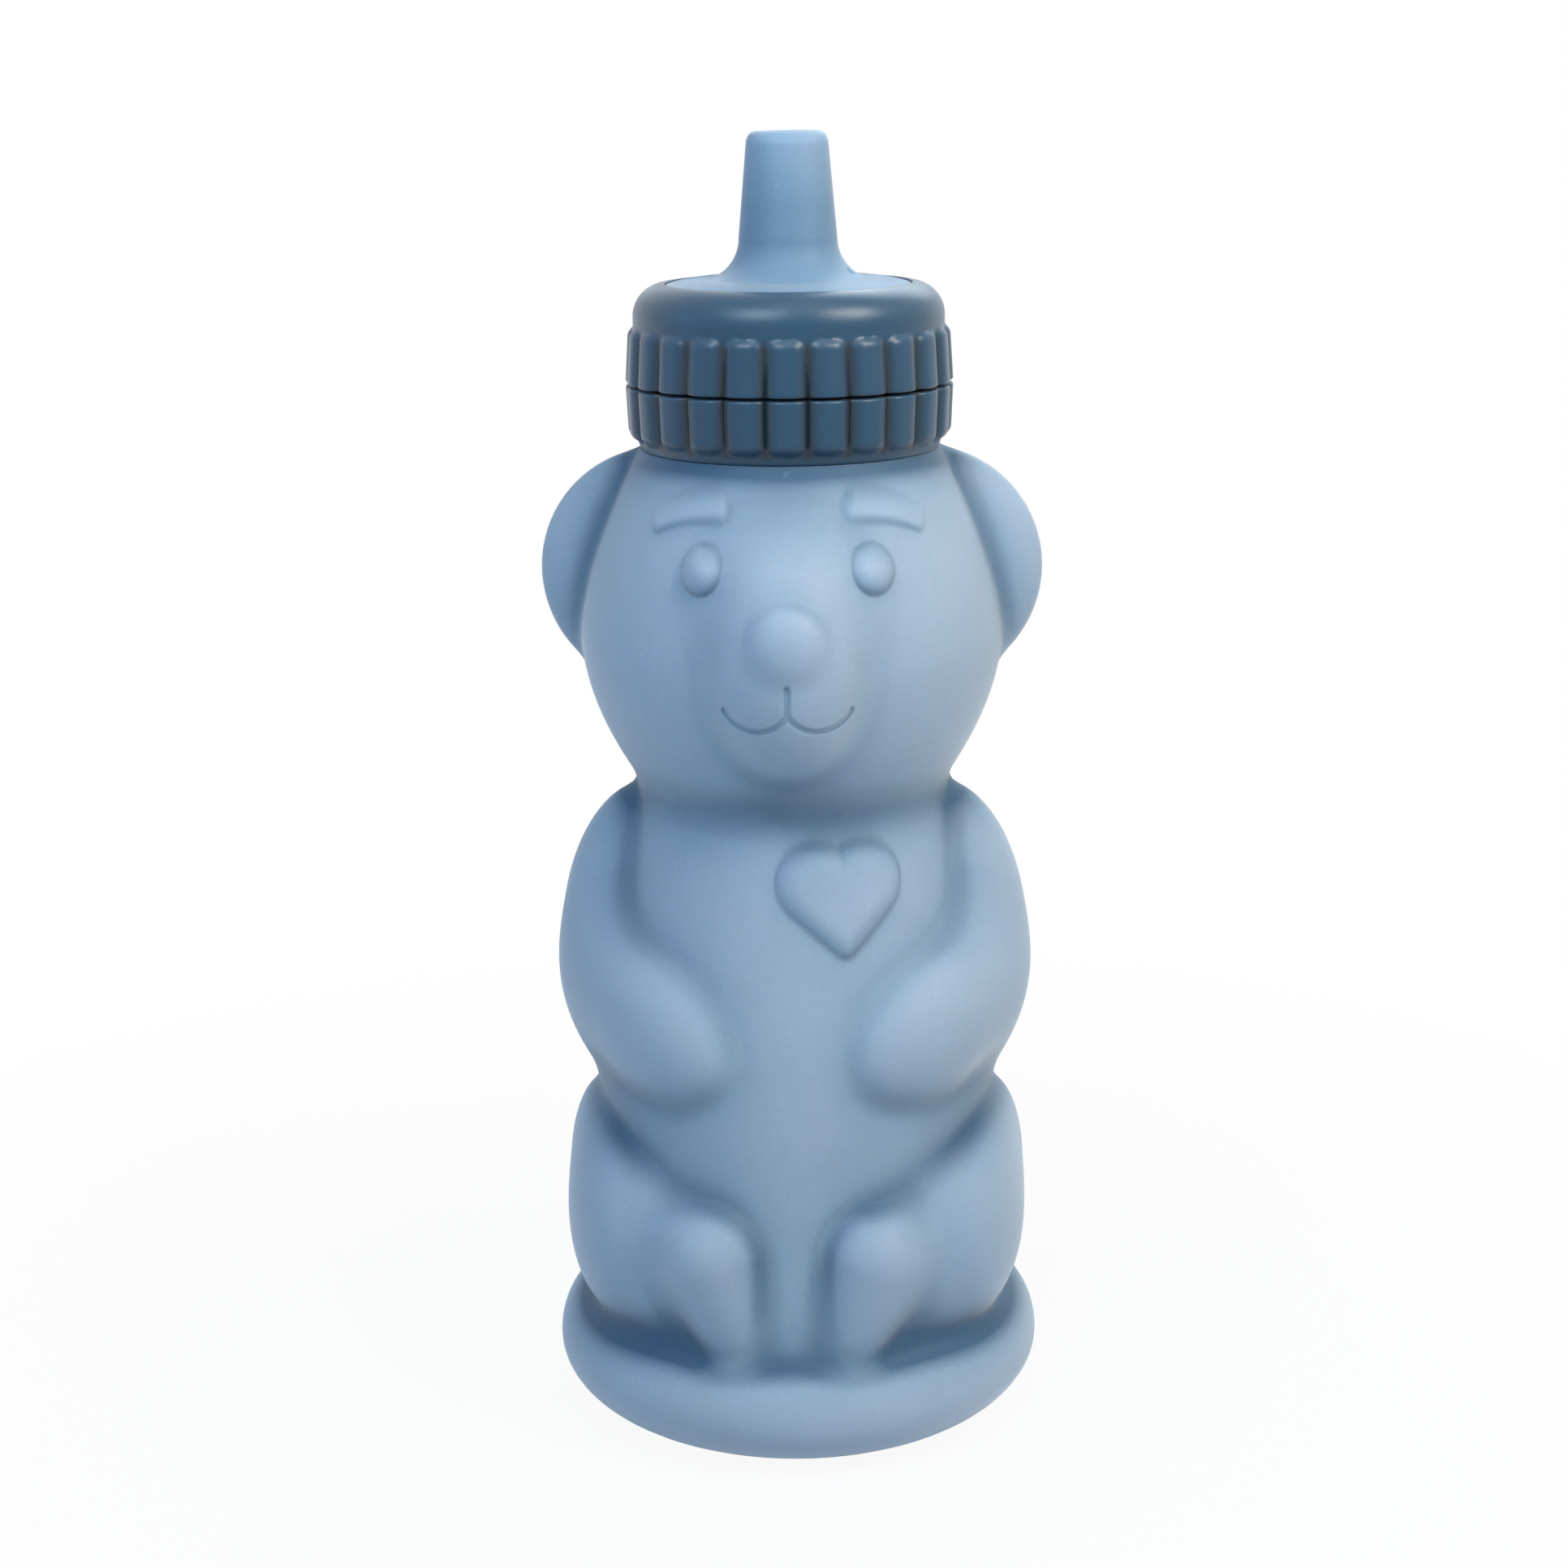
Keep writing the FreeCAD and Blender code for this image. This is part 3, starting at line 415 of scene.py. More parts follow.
def moulded_silicone(name, lit, middle, deep, softness):
    """Matte liquid silicone rubber from a blasted mould: a soft grey veil over the colour, painted shade in a
    deeper colour where the sky above a point is hidden by the forms around it, a fine tooth, cloudy mottling
    and a few specks of dust. The real tooth is finer than a tenth of a millimetre, and is drawn coarser so
    that it shows."""
    material, tree = new_material(name)
    place = add(tree, "ShaderNodeTexCoord").outputs["Object"]
    painted_shade = add(tree, "ShaderNodeAttribute", {"attribute_name": "painted_shade"}).outputs["Fac"]
    clouds = add(tree, "ShaderNodeTexNoise", {"Scale": per_size(14), "Detail": 3.0}, {"Vector": place})
    tooth = add(tree, "ShaderNodeTexNoise", {"Scale": per_size(0.5), "Detail": 2.0}, {"Vector": place})
    dust = add(tree, "ShaderNodeTexNoise", {"Scale": per_size(2.2), "Detail": 1.0}, {"Vector": place})
    # Painted shade: the colour goes from lit through middle to deep as the painted shade value grows
    painted_shade_tone = add(tree, "ShaderNodeValToRGB", links={"Fac": painted_shade})
    painted_shade_tone.color_ramp.elements[0].color = paint(lit)
    painted_shade_tone.color_ramp.elements[1].color = paint(deep)
    painted_shade_tone.color_ramp.elements[1].position = FULL_SHADE_AT
    painted_shade_tone.color_ramp.elements.new(HALF_SHADE_AT).color = paint(middle)
    cloudy = add(tree, "ShaderNodeMapRange", {**NOISE_SPAN, "To Min": 0.96, "To Max": 1.03},
                 {"Value": clouds.outputs["Fac"]})
    grainy = add(tree, "ShaderNodeMapRange", {**NOISE_SPAN, "To Min": 0.97, "To Max": 1.03},
                 {"Value": tooth.outputs["Fac"]})
    varied = add(tree, "ShaderNodeMath", {"operation": "MULTIPLY"})
    tree.links.new(cloudy.outputs["Result"], varied.inputs[0])
    tree.links.new(grainy.outputs["Result"], varied.inputs[1])
    colour = add(tree, "ShaderNodeVectorMath", {"operation": "SCALE"},
                 {"Vector": painted_shade_tone.outputs["Color"], "Scale": varied.outputs["Value"]})
    specks = add(tree, "ShaderNodeMapRange", {**SPECK_SPAN, "To Min": 0.0, "To Max": 0.06},
                 {"Value": dust.outputs["Fac"]})
    dusty = add(tree, "ShaderNodeMix", {"data_type": "RGBA"})
    tree.links.new(specks.outputs["Result"], dusty.inputs[0])
    tree.links.new(colour.outputs["Vector"], dusty.inputs[6])
    dusty.inputs[7].default_value = paint(DUST)
    rough = add(tree, "ShaderNodeMapRange", {**NOISE_SPAN, "To Min": 0.52, "To Max": 0.62},
                {"Value": clouds.outputs["Fac"]})
    bump = add(tree, "ShaderNodeBump", {"Strength": 0.12, "Distance": 0.05 * MM},
               {"Height": tooth.outputs["Fac"]})
    shader = add(tree, "ShaderNodeBsdfPrincipled",
                 {"IOR": 1.41, "Subsurface Weight": softness, "Subsurface Radius": (0.3, 0.6, 1.0),
                  "Subsurface Scale": 3.0 * MM, "Sheen Weight": 0.5, "Sheen Roughness": 0.45},
                 {"Base Color": dusty.outputs[2], "Roughness": rough.outputs["Result"],
                  "Normal": bump.outputs["Normal"]})
    add(tree, "ShaderNodeOutputMaterial", links={"Surface": shader.outputs["BSDF"]})
    return material


def moulded_polypropylene(name, face, groove):
    """Injection moulded polypropylene with a fine spark-eroded grain: a satin navy with painted shade that
    darkens it in its grooves, with a soft wide gleam and a faint haze where it turns away. The real grain is
    finer, and is drawn coarser so that it shows."""
    material, tree = new_material(name)
    place = add(tree, "ShaderNodeTexCoord").outputs["Object"]
    painted_shade = add(tree, "ShaderNodeAttribute", {"attribute_name": "painted_shade"}).outputs["Fac"]
    grain = add(tree, "ShaderNodeTexNoise", {"Scale": per_size(0.35), "Detail": 2.0}, {"Vector": place})
    wear = add(tree, "ShaderNodeTexNoise", {"Scale": per_size(6), "Detail": 4.0}, {"Vector": place})
    # Painted shade: the colour goes from face to groove as the painted shade value grows
    painted_shade_tone = add(tree, "ShaderNodeValToRGB", links={"Fac": painted_shade})
    painted_shade_tone.color_ramp.elements[0].color = paint(face)
    painted_shade_tone.color_ramp.elements[1].color = paint(groove)
    varied = add(tree, "ShaderNodeMapRange", {**NOISE_SPAN, "To Min": 0.93, "To Max": 1.07},
                 {"Value": grain.outputs["Fac"]})
    colour = add(tree, "ShaderNodeVectorMath", {"operation": "SCALE"},
                 {"Vector": painted_shade_tone.outputs["Color"], "Scale": varied.outputs["Result"]})
    rough = add(tree, "ShaderNodeMapRange", {**NOISE_SPAN, "To Min": 0.32, "To Max": 0.40},
                {"Value": wear.outputs["Fac"]})
    bump = add(tree, "ShaderNodeBump", {"Strength": 0.25, "Distance": 0.05 * MM},
               {"Height": grain.outputs["Fac"]})
    shader = add(tree, "ShaderNodeBsdfPrincipled", {"IOR": 1.49, "Sheen Weight": 0.3, "Sheen Roughness": 0.4},
                 {"Base Color": colour.outputs["Vector"], "Roughness": rough.outputs["Result"],
                  "Normal": bump.outputs["Normal"]})
    add(tree, "ShaderNodeOutputMaterial", links={"Surface": shader.outputs["BSDF"]})
    return material


# The colours after the first of each material are painted shade colours, reached as the painted shade value
# grows
bear_silicone = moulded_silicone("bear silicone, moulded", "#9fb4c9", "#8da7be", "#355c7b", 0.4)
spout_silicone = moulded_silicone("spout silicone, moulded", "#8ba7c0", "#6d8fac", "#3f6c92", 0.4)
valve_silicone = moulded_silicone("valve silicone, moulded", "#a9bacb", "#8ea7bf", "#6f93b0", 0.3)
closure_plastic = moulded_polypropylene("closure polypropylene, moulded", "#1a4560", "#0b171f")
neck_plastic = moulded_polypropylene("neck polypropylene, moulded", "#1a4560", "#0b171f")


# Bear

FRONT_SPAN, FRONT_STEP, SIDE_SPAN, SIDE_STEP, BACK_STEP = 48.0, 0.36, 130.0, 0.6, 2.0
FACE_LOW, FACE_HIGH, FACE_ROW, BODY_ROW = 93.0, 125.0, 0.22, 0.55
INNER_ROW = 2.5
FLOOR_RINGS, INNER_FLOOR_RINGS = (4.0, 12.0), (10.0, 3.0)
# Painted shade of the bear: sky directions and step lengths that look for covering forms, and the reach over
# which the painted shade fades out on the ears
SKY_COUNT, SKY_STEPS, EAR_OPEN_REACH = 14, (2.0, 5.0, 10.0, 18.0), 7.0
TOUCH, STEEP = 0.01, 0.9


def steps(start, end, size):
    """Evenly spaced values from start to end, about this far apart."""
    return np.linspace(start, end, max(round(abs(end - start) / size), 1) + 1)


def bear_bearings():
    front = steps(-FRONT_SPAN, FRONT_SPAN, FRONT_STEP)
    right = steps(FRONT_SPAN, SIDE_SPAN, SIDE_STEP)[1:]
    back = steps(SIDE_SPAN, 360 - SIDE_SPAN, BACK_STEP)[1:]
    left = steps(360 - SIDE_SPAN, 360 - FRONT_SPAN, SIDE_STEP)[1:-1]
    return np.radians(np.concatenate([front, right, back, left]))


def bear_rows():
    bearings = bear_bearings()
    rows = [ring_row(bearings, r, 0.0) for r in FLOOR_RINGS]
    for r, z in arc_points((0, 0), 1, -90, 0, count=15):
        rows.append(ring_row(bearings, base_flat + HEEL_REACH * r, BASE_WIDEST_HEIGHT * (1 + z)))
    heights = np.concatenate([steps(BASE_WIDEST_HEIGHT, FACE_LOW, BODY_ROW)[1:],
                              steps(FACE_LOW, FACE_HIGH, FACE_ROW)[1:],
                              steps(FACE_HIGH, seat_height, BODY_ROW)[1:-1]])
    reach = skin_reach(bearings[None, :], heights[:, None])
    rows += [ring_row(bearings, r, z) for r, z in zip(reach, heights)]
    bead_bottom = seat_height + COLLAR_LIP
    shoulder = seat_height - SLEEVE_LENGTH
    bore = NECK_RADIUS - NECK_WALL
    inner = [(SEAT_RADIUS, seat_height), (NECK_RADIUS, seat_height), (NECK_RADIUS, bead_bottom),
             (BEAD_RADIUS, bead_bottom), (BEAD_RADIUS, bead_top), (bore, bead_top),
             (bore, seat_height - WALL)]
    inner += [(float(trunk_radius(z)) - WALL, z) for z in steps(shoulder, HIP_HEIGHT + WALL, INNER_ROW)]
    inner_round = BASE_TOP_RISE - WALL / 4
    round_centre = (base_radius - WALL - inner_round, BASE_WIDEST_HEIGHT)
    heel_round = BASE_WIDEST_HEIGHT - FLOOR_THICKNESS
    heel_centre = (round_centre[0] + inner_round - heel_round, BASE_WIDEST_HEIGHT)
    inner += arc_points(round_centre, inner_round, 90, 0, count=9)
    inner += arc_points(heel_centre, heel_round, 0, -90, count=9)[1:]
    inner += [(r, FLOOR_THICKNESS) for r in INNER_FLOOR_RINGS]
    rows += [ring_row(bearings, r, z) for r, z in inner]
    return rows


def sky_directions():
    """Directions spread evenly over the upper half of a ball, with more of them near its top."""
    index = np.arange(SKY_COUNT) + 0.5
    up = np.sqrt(1 - index / SKY_COUNT)
    turn = index * math.pi * (3 - math.sqrt(5))
    out = np.sqrt(1 - up * up)
    return np.stack([out * np.cos(turn), out * np.sin(turn), up], axis=1)


def covered_gap(x, y, z):
    """How far each point lies outside the bear and the collar above its head."""
    collar = np.maximum(np.hypot(x, y) - COLLAR_CREST_BOTTOM, seat_height - z)
    return np.minimum(bear_gap(x, y, np.minimum(z, seat_height)), collar)


def painted_sky_shade(points, normals):
    """How much of the sky above each point of the skin is hidden by the forms around it, from 0 to 1, for
    the material to paint as shade. On the ears this painted shade fades out towards their edges."""
    shut = np.zeros(len(points))
    outside = np.hypot(points[:, 0], points[:, 1]) > trunk_radius(points[:, 2]) - 0.5 * WALL
    seen = outside & (points[:, 2] > BASE_WIDEST_HEIGHT) & (points[:, 2] < seat_height + TOUCH)
    start, upward = points[seen], normals[seen].astype(float)
    lean = np.where(np.abs(upward[:, 2:]) < STEEP, [[0.0, 0.0, 1.0]], [[1.0, 0.0, 0.0]])
    first = np.cross(lean, upward)
    first /= np.linalg.norm(first, axis=1, keepdims=True)
    second = np.cross(upward, first)
    hidden = np.zeros(len(start))
    for across, along, up in sky_directions():
        way = across * first + along * second + up * upward
        for step in SKY_STEPS:
            spot = start + way * step
            gap = covered_gap(spot[:, 0], spot[:, 1], spot[:, 2])
            hidden += np.clip(1 - gap / (step * up), 0, 1)
    shut[seen] = hidden / (SKY_COUNT * len(SKY_STEPS))
    reach = np.hypot(points[:, 0], points[:, 1])
    on_ear = (points[:, 2] > THROAT_HEIGHT) & (np.abs(points[:, 0]) > -points[:, 1])
    ear_share = on_ear * np.clip((reach - trunk_radius(points[:, 2])) / EAR_OPEN_REACH, 0, 1)
    return shut * (1 - ear_share)


# Each point of the bear carries painted shade where its sky is hidden
piece_from_rows("bear", [(bear_rows(), False)], "bear_body", "bottle", bear_silicone,
                sharp_degrees=60, shade=painted_sky_shade)


# Ribbed rings

RIB_END_FALL, RIB_MELT, GROOVE_FALL, RIB_ABOVE_BORE = 4, 0.25, 3, 0.1
COLLAR_TAPER, WALL_ROW, EDGE_ROWS, SHOULDER_SWEEP = 0.45, 0.3, 4, 85
THREAD_STEPS, THREAD_RUN_OUT, THREAD_ROOT_SINK = 120, 8, 0.2


def rib_share(bearings):
    """Place across each rib: 0 on its crest, 1 in the grooves beside it."""
    return np.abs(np.mod(bearings * RIB_COUNT / (2 * math.pi) + 0.5, 1) - 0.5) * 2


def end_inset(distance):
    """How far a rib's round end lies below its crest, at this distance from the end."""
    from_middle = np.clip(RIB_END_ROUND - distance, 0, RIB_END_ROUND)
    round_end = RIB_END_ROUND - np.sqrt(RIB_END_ROUND ** 2 - from_middle ** 2)
    return round_end + RIB_END_FALL * np.maximum(-distance, 0)


def ribbed_rows(bearings, heights, crest, core, end_distance):
    """Rows of a ribbed wall: each point takes the rib or the wall behind it, whichever is further out."""
    rows = []
    for z in heights:
        rib = crest(z) - RIB_DEPTH * rib_share(bearings) ** RIB_FLATNESS - end_inset(end_distance(z))
        rows.append(ring_row(bearings, -melt(-rib, np.full_like(rib, -core(z)), RIB_MELT), z))
    return rows


ring_bearings = np.linspace(0, 2 * math.pi, RIB_COUNT * RIB_COLUMNS, endpoint=False)


def painted_groove_shade(points, normals):
    """Painted shade of a ribbed ring: 0 on the crests, 1 deep in the grooves between the ribs."""
    rib_top = ring_bottom + RING_RIB_LENGTH
    fade = np.clip(np.minimum(points[:, 2] - seat_height, rib_top - points[:, 2]) / RIB_END_ROUND, 0, 1)
    on_ribs = np.hypot(points[:, 0], points[:, 1]) > collar_bore + RIB_ABOVE_BORE
    share = rib_share(np.arctan2(points[:, 0], -points[:, 1]))
    return np.where(on_ribs, fade * share ** GROOVE_FALL, 0)


def edge_heights(low, high):
    """Heights of a wall's rows, close together at both ends for the round edges."""
    small = EDGE_ROUND * (1 - np.cos(np.linspace(0, math.pi / 2, EDGE_ROWS)))
    between = steps(low + EDGE_ROUND, high - EDGE_ROUND, WALL_ROW)[1:-1]
    return np.concatenate([low + small, between, (high - small)[::-1]])


def edge_inset(z, low, high):
    """How far a small round edge draws a wall in, near its lower and upper end."""
    near = np.clip(EDGE_ROUND - min(z - low, high - z), 0, EDGE_ROUND)
    return EDGE_ROUND - math.sqrt(EDGE_ROUND ** 2 - near ** 2)


def collar_rows():
    rib_bottom = seat_height + COLLAR_RIM_HEIGHT
    lip = NECK_RADIUS + NECK_CLEARANCE
    bead_bottom = seat_height + COLLAR_LIP
    slope = (seam_crest - COLLAR_CREST_BOTTOM) / (collar_top - seat_height)

    def crest(z):
        return COLLAR_CREST_BOTTOM + slope * (z - seat_height) - edge_inset(z, -math.inf, collar_top)

    def core(z):
        rim_share = min((z - seat_height) / COLLAR_RIM_HEIGHT, 1)
        return SEAT_RADIUS + COLLAR_TAPER * rim_share - edge_inset(z, seat_height, collar_top)

    heights = edge_heights(seat_height, collar_top)
    outside = ribbed_rows(ring_bearings, heights, crest, core, lambda z: z - rib_bottom)
    inside = [(collar_bore, collar_top), (collar_bore, bead_bottom), (lip, bead_bottom), (lip, seat_height)]
    return outside + [ring_row(ring_bearings, r, z) for r, z in inside]


def ring_rows():
    rib_top = ring_bottom + RING_RIB_LENGTH
    slope = (RING_CREST_TOP - seam_crest) / RING_RIB_LENGTH
    wall_top = ring_top - SHOULDER_ROUND

    def crest(z):
        return seam_crest + slope * (z - ring_bottom) - edge_inset(z, ring_bottom, ring_top)

    def core(z):
        return SHOULDER_RADIUS - edge_inset(z, ring_bottom, ring_top)

    heights = edge_heights(ring_bottom, wall_top)
    outside = ribbed_rows(ring_bearings, heights, crest, core, lambda z: rib_top - z)
    dome = arc_points((ring_hole, wall_top), SHOULDER_ROUND, 0, SHOULDER_SWEEP, count=15)[1:]
    lip = arc_points((ring_hole + HOLE_ROUND, ring_top - HOLE_ROUND), HOLE_ROUND, 90, 180, count=5)
    inside = [(ring_hole, ring_ceiling), (ring_bore, ring_ceiling), (ring_bore, ring_bottom)]
    return outside + [ring_row(ring_bearings, r, z) for r, z in dome + lip + inside]


def thread_rows(root, depth, turns, height):
    """Thread ridge along a helix, with ends that run out into the wall."""
    rows = []
    for turn in np.linspace(0, turns, round(THREAD_STEPS * turns)):
        rise = depth * min(1, THREAD_RUN_OUT * turn, THREAD_RUN_OUT * (turns - turn))
        angle = 2 * math.pi * turn
        middle = height + THREAD_PITCH * turn
        foot, crest = root - THREAD_ROOT_SINK * depth, root + rise
        section = [(foot, -THREAD_ROOT_WIDTH / 2), (crest, -THREAD_CREST_WIDTH / 2),
                   (crest, THREAD_CREST_WIDTH / 2), (foot, THREAD_ROOT_WIDTH / 2)]
        rows.append(np.array([(r * math.cos(angle), r * math.sin(angle), middle + z) for r, z in section]))
    return rows


# The collar and the ring carry painted shade in the grooves between their ribs
piece_from_rows("collar", [(collar_rows(), True)], "neck_collar", "bottle",
                closure_plastic, sharp_degrees=40, shade=painted_groove_shade)
ring_thread = thread_rows(ring_bore, -THREAD_DEPTH, RING_THREAD_TURNS, ring_bottom + RING_THREAD_START)
piece_from_rows("ring", [(ring_rows(), True), (ring_thread[::-1], False)], "screw_ring", "ring",
                closure_plastic, sharp_degrees=40, shade=painted_groove_shade)


# Spout

TUBE_ROW, BORE_ROW, TIP_LIP, DISC_EDGE_SWEEP = 0.5, 1.0, 0.15, 75
SPOUT_COLUMNS, DISC_ROWS, TIP_ROWS = 240, 12, 8
spout_bearings = np.linspace(0, 2 * math.pi, SPOUT_COLUMNS, endpoint=False)


def oval_row(width, depth, height):
    return np.stack([width / 2 * np.sin(spout_bearings), -depth / 2 * np.cos(spout_bearings),
                     np.full_like(spout_bearings, height)], axis=1)


def tube_row(share, inset, height):
    """Row of the tapering tube, from its round root at share 0 to its oval tip at share 1."""
    width = 2 * ROOT_RADIUS + share * (TIP_WIDTH - 2 * ROOT_RADIUS)
    depth = 2 * ROOT_RADIUS + share * (TIP_DEPTH - 2 * ROOT_RADIUS)
    return oval_row(width - 2 * inset, depth - 2 * inset, height)


def spout_rows():
    plug = ring_hole - HOLE_CLEARANCE
    root_edge = ROOT_RADIUS + FLARE_REACH
    flare_round = (FLARE_REACH ** 2 + FLARE_HEIGHT ** 2) / (2 * FLARE_REACH)
    flare_end = 180 + math.degrees(math.asin(FLARE_HEIGHT / flare_round))
    outline = [(SOCKET_MOUTH, insert_top), (flange_radius, insert_top), (flange_radius, ring_ceiling),
               (plug, ring_ceiling)]
    outline += arc_points((plug - HOLE_ROUND, disc_edge - HOLE_ROUND), HOLE_ROUND, 0, DISC_EDGE_SWEEP,
                          count=5)
    for share in np.linspace(0, 1, DISC_ROWS)[1:-1]:
        sag = 4 * DISC_CROWN * share * (1 - share)
        outline.append((plug + share * (root_edge - plug), disc_edge + share * DISC_RISE + sag))
    outline += arc_points((ROOT_RADIUS + flare_round, flare_top), flare_round, flare_end, 180, count=20)
    rows = [dimpled(ring_row(spout_bearings, r, z)) for r, z in outline]
    length = spout_tip - flare_top
    for z in steps(flare_top, spout_tip - TIP_ROUND, TUBE_ROW)[1:]:
        rows.append(tube_row((z - flare_top) / length, 0, z))
    for turn in np.radians(np.linspace(0, 90, TIP_ROWS))[1:]:
        z = spout_tip - TIP_ROUND * (1 - math.sin(turn))
        rows.append(tube_row(1, TIP_ROUND * (1 - math.cos(turn)), z))
    for z in steps(spout_tip - TIP_LIP, valve_top, BORE_ROW):
        share = (z - valve_top) / (spout_tip - valve_top)
        width = 2 * (ROOT_RADIUS - SPOUT_WALL) * (1 - share) + (TIP_WIDTH - 2 * SPOUT_WALL) * share
        depth = 2 * (ROOT_RADIUS - SPOUT_WALL) * (1 - share) + (TIP_DEPTH - 2 * SPOUT_WALL) * share
        rows.append(oval_row(width, depth, z))
    inside = [(VALVE_SOCKET, valve_top), (VALVE_SOCKET, valve_bottom), (SOCKET_MOUTH, valve_bottom)]
    return rows + [ring_row(spout_bearings, r, z) for r, z in inside]


def dimpled(row):
    """Presses the small air vent into the foot of the spout."""
    turn = math.radians(VENT_ANGLE)
    reach = ROOT_RADIUS + (FLARE_REACH + VENT_RADIUS) / 2
    outward = np.array([math.sin(turn), -math.cos(turn), 0])
    middle = outward * reach + np.array([0, 0, flare_bottom + FLARE_HEIGHT / 4])
    share = np.linalg.norm(row - middle, axis=1) / VENT_RADIUS
    press = VENT_DEPTH * np.maximum(1 - share * share, 0)
    return row - press[:, None] * (outward + np.array([0, 0, 1])) / math.sqrt(2)


def spout_painted_shade(points, normals):
    """Painted shade of the spout: a fixed amount along the tube that fades out towards the top, so the tip is
    painted lighter.
    """
    return TUBE_PAINTED_SHADE * np.clip((spout_tip - points[:, 2]) / TIP_PAINTED_LIGHT_LENGTH, 0, 1)


# The spout carries painted shade that fades out at its tip
piece_from_rows("pouring_spout", [(spout_rows(), True)], "spout", "pourer",
                spout_silicone, sharp_degrees=50, shade=spout_painted_shade)

# The threaded neck and the slit valve keep the shapes of the frame
for node, material in (("neck_insert", neck_plastic), ("drip_valve", valve_silicone)):
    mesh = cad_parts[node].data
    mesh.materials.clear()
    mesh.materials.append(material)


# Floor, light and camera. Floor and lamps are in metres, the camera in millimetres.

FLOOR_REACH, FLOOR_CORNERS, SHADOW_REACH = 40.0, 64, 0.2
AIM_HEIGHT, CAMERA_DISTANCE, CAMERA_TILT, CAMERA_AZIMUTH, CAMERA_ROLL = 83.6, 358.4, 14.7, 1.4, 0.6
FOCAL_PIXELS, IMAGE_PIXELS, SENSOR_WIDTH = 3400.0, 1932, 36.0
AXIS_OFFSET_PIXELS = 11.3
WORLD_LEVEL, KEY_WATTS, TOP_WATTS, FRONT_WATTS = 0.06, 1.85, 0.3, 0.92
FILL_WATTS, BACK_WATTS = 0.75, 1.6
WARM_WHITE, COOL_WHITE, COOL_FILL = "#fff7ee", "#e2f3ff", "#44b4ff"
FLOOR_DULL, FLOOR_PALE, FLOOR_WHITENESS = "#c4d1dc", "#cdd9e3", 0.93


def seen_directly(tree):
    """1 for what the camera sees itself, in a gleam or through the part, and 0 for light on the object."""
    path = add(tree, "ShaderNodeLightPath").outputs
    glossy = add(tree, "ShaderNodeMath", {"operation": "MAXIMUM"})
    tree.links.new(path["Is Camera Ray"], glossy.inputs[0])
    tree.links.new(path["Is Glossy Ray"], glossy.inputs[1])
    through = add(tree, "ShaderNodeMath", {"operation": "MAXIMUM"})
    tree.links.new(glossy.outputs["Value"], through.inputs[0])
    tree.links.new(path["Is Transmission Ray"], through.inputs[1])
    return through.outputs["Value"]


def studio_floor():
    """Pale matte sweep that shows white to the camera and keeps the object's shadow."""
    material, tree = new_material("painted white floor, matte")
    place = add(tree, "ShaderNodeTexCoord").outputs["Object"]
    cloud = add(tree, "ShaderNodeTexNoise", {"Scale": per_size(400)}, {"Vector": place})
    pale = add(tree, "ShaderNodeValToRGB", links={"Fac": cloud.outputs["Fac"]})
    pale.color_ramp.elements[0].color = paint(FLOOR_DULL)
    pale.color_ramp.elements[1].color = paint(FLOOR_PALE)
    matte = add(tree, "ShaderNodeBsdfDiffuse", links={"Color": pale.outputs["Color"]})
    white = add(tree, "ShaderNodeEmission", {"Color": (1, 1, 1, 1), "Strength": 1.0})
    away = add(tree, "ShaderNodeVectorMath", {"operation": "LENGTH"}, {"Vector": place})
    whiten = add(tree, "ShaderNodeMapRange", {"From Min": SHADOW_REACH / 4, "From Max": SHADOW_REACH,
                                              "To Min": FLOOR_WHITENESS}, {"Value": away.outputs["Value"]})
    share = add(tree, "ShaderNodeMath", {"operation": "MULTIPLY"})
    tree.links.new(seen_directly(tree), share.inputs[0])
    tree.links.new(whiten.outputs["Result"], share.inputs[1])
    mix = add(tree, "ShaderNodeMixShader", links={"Fac": share.outputs["Value"]})
    tree.links.new(matte.outputs["BSDF"], mix.inputs[1])
    tree.links.new(white.outputs["Emission"], mix.inputs[2])
    add(tree, "ShaderNodeOutputMaterial", links={"Surface": mix.outputs["Shader"]})
    bearings = np.linspace(0, 2 * math.pi, FLOOR_CORNERS, endpoint=False)
    rim = [(FLOOR_REACH * math.cos(b), FLOOR_REACH * math.sin(b), 0.0) for b in bearings]
    mesh = bpy.data.meshes.new("studio_floor")
    mesh.from_pydata(rim, [], [list(range(len(rim)))])
    mesh.materials.append(material)
    floor = bpy.data.objects.new("studio_floor", mesh)
    bpy.context.scene.collection.objects.link(floor)


def studio_world():
    world = bpy.data.worlds.new("white studio")
    world.use_nodes = True
    tree = world.node_tree
    tree.nodes.clear()
    seen = seen_directly(tree)
    white = add(tree, "ShaderNodeBackground", {"Color": (1, 1, 1, 1), "Strength": 1.0})
    fill = add(tree, "ShaderNodeBackground", {"Color": paint(COOL_WHITE), "Strength": WORLD_LEVEL})
    mix = add(tree, "ShaderNodeMixShader", links={"Fac": seen})
    tree.links.new(fill.outputs["Background"], mix.inputs[1])
    tree.links.new(white.outputs["Background"], mix.inputs[2])
    add(tree, "ShaderNodeOutputWorld", links={"Surface": mix.outputs["Shader"]})
    bpy.context.scene.world = world


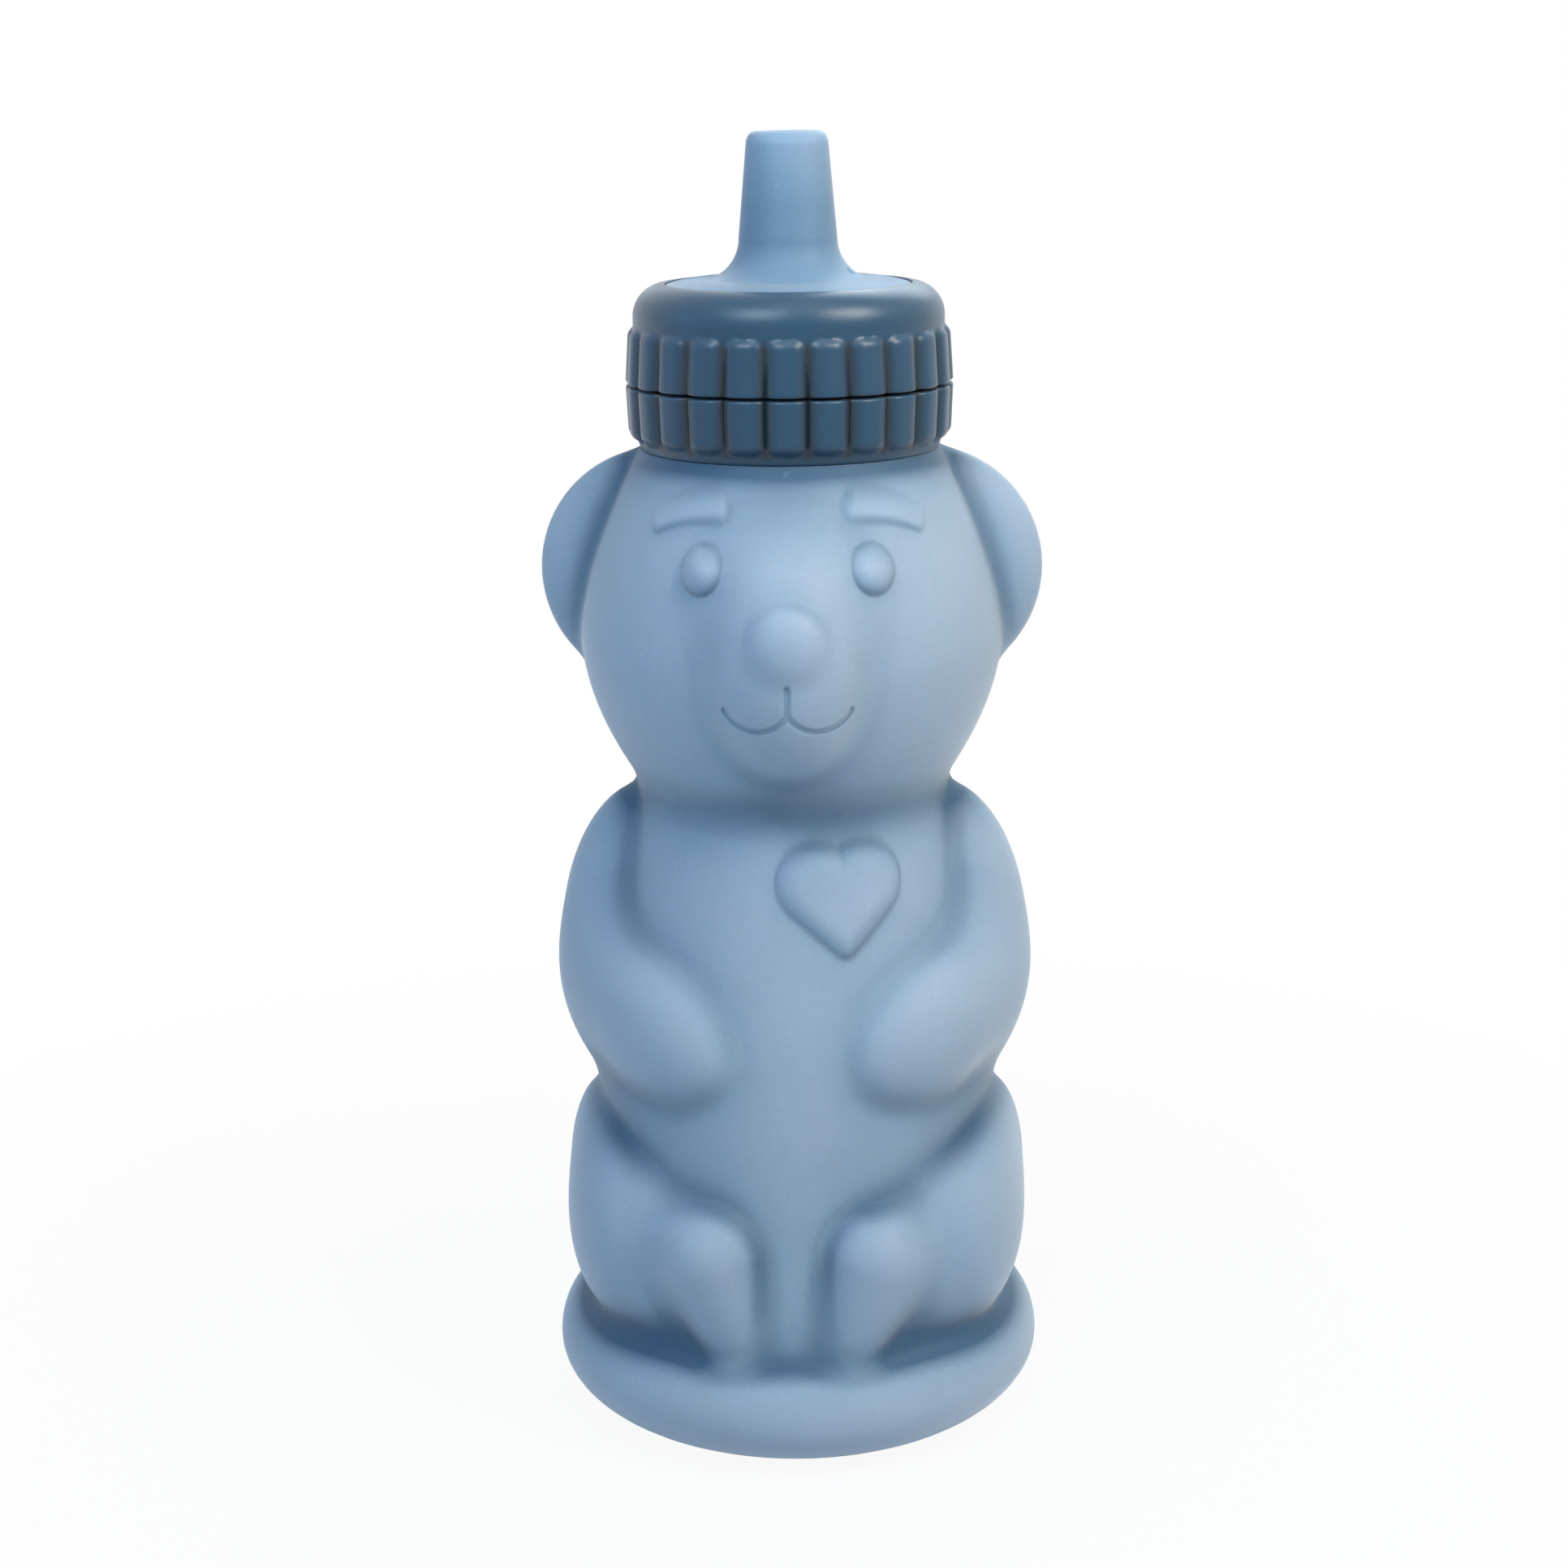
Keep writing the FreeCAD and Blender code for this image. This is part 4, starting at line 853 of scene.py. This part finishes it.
def soft_box(name, place, size, watts, colour):
    """Square lamp that looks at the middle of the bottle. Places and sizes in metres."""
    lamp = bpy.data.lights.new(name, "AREA")
    lamp.size = size
    lamp.energy = watts
    lamp.color = paint(colour)[:3]
    light = bpy.data.objects.new(name, lamp)
    light.location = place
    aim = Vector((0, 0, AIM_HEIGHT * MM)) - Vector(place)
    light.rotation_euler = aim.to_track_quat("-Z", "Y").to_euler()
    bpy.context.scene.collection.objects.link(light)


def photo_camera():
    tilt, azimuth, roll = (math.radians(a) for a in (CAMERA_TILT, CAMERA_AZIMUTH, CAMERA_ROLL))
    ahead = Vector((-math.sin(azimuth), math.cos(azimuth), 0))
    forward = ahead * math.cos(tilt) - Vector((0, 0, math.sin(tilt)))
    level = Vector((math.cos(azimuth), math.sin(azimuth), 0))
    upright = level.cross(forward)
    right = level * math.cos(roll) - upright * math.sin(roll)
    up = upright * math.cos(roll) + level * math.sin(roll)
    sideways = AXIS_OFFSET_PIXELS / FOCAL_PIXELS * CAMERA_DISTANCE
    place = Vector((0, 0, AIM_HEIGHT)) - forward * CAMERA_DISTANCE - level * sideways
    data = bpy.data.cameras.new("photo camera")
    data.sensor_width = SENSOR_WIDTH
    data.lens = FOCAL_PIXELS / IMAGE_PIXELS * SENSOR_WIDTH
    data.clip_start = 0.01
    camera = bpy.data.objects.new("photo camera", data)
    camera.matrix_world = Matrix.Translation(place * MM) @ Matrix((right, up, -forward)).transposed().to_4x4()
    bpy.context.scene.collection.objects.link(camera)
    bpy.context.scene.camera = camera


studio_floor()
studio_world()
soft_box("key, upper right", (0.30, -0.22, 0.42), 0.22, KEY_WATTS, WARM_WHITE)
soft_box("top", (0.05, -0.12, 0.60), 0.3, TOP_WATTS, WARM_WHITE)
soft_box("front", (-0.12, -0.26, 0.40), 0.2, FRONT_WATTS, COOL_WHITE)
soft_box("fill, left", (-0.80, -0.15, 0.35), 0.45, FILL_WATTS, COOL_FILL)
soft_box("rim, behind", (0.15, 0.45, 0.50), 0.4, BACK_WATTS, COOL_WHITE)
photo_camera()
bpy.context.scene.view_settings.view_transform = "Standard"
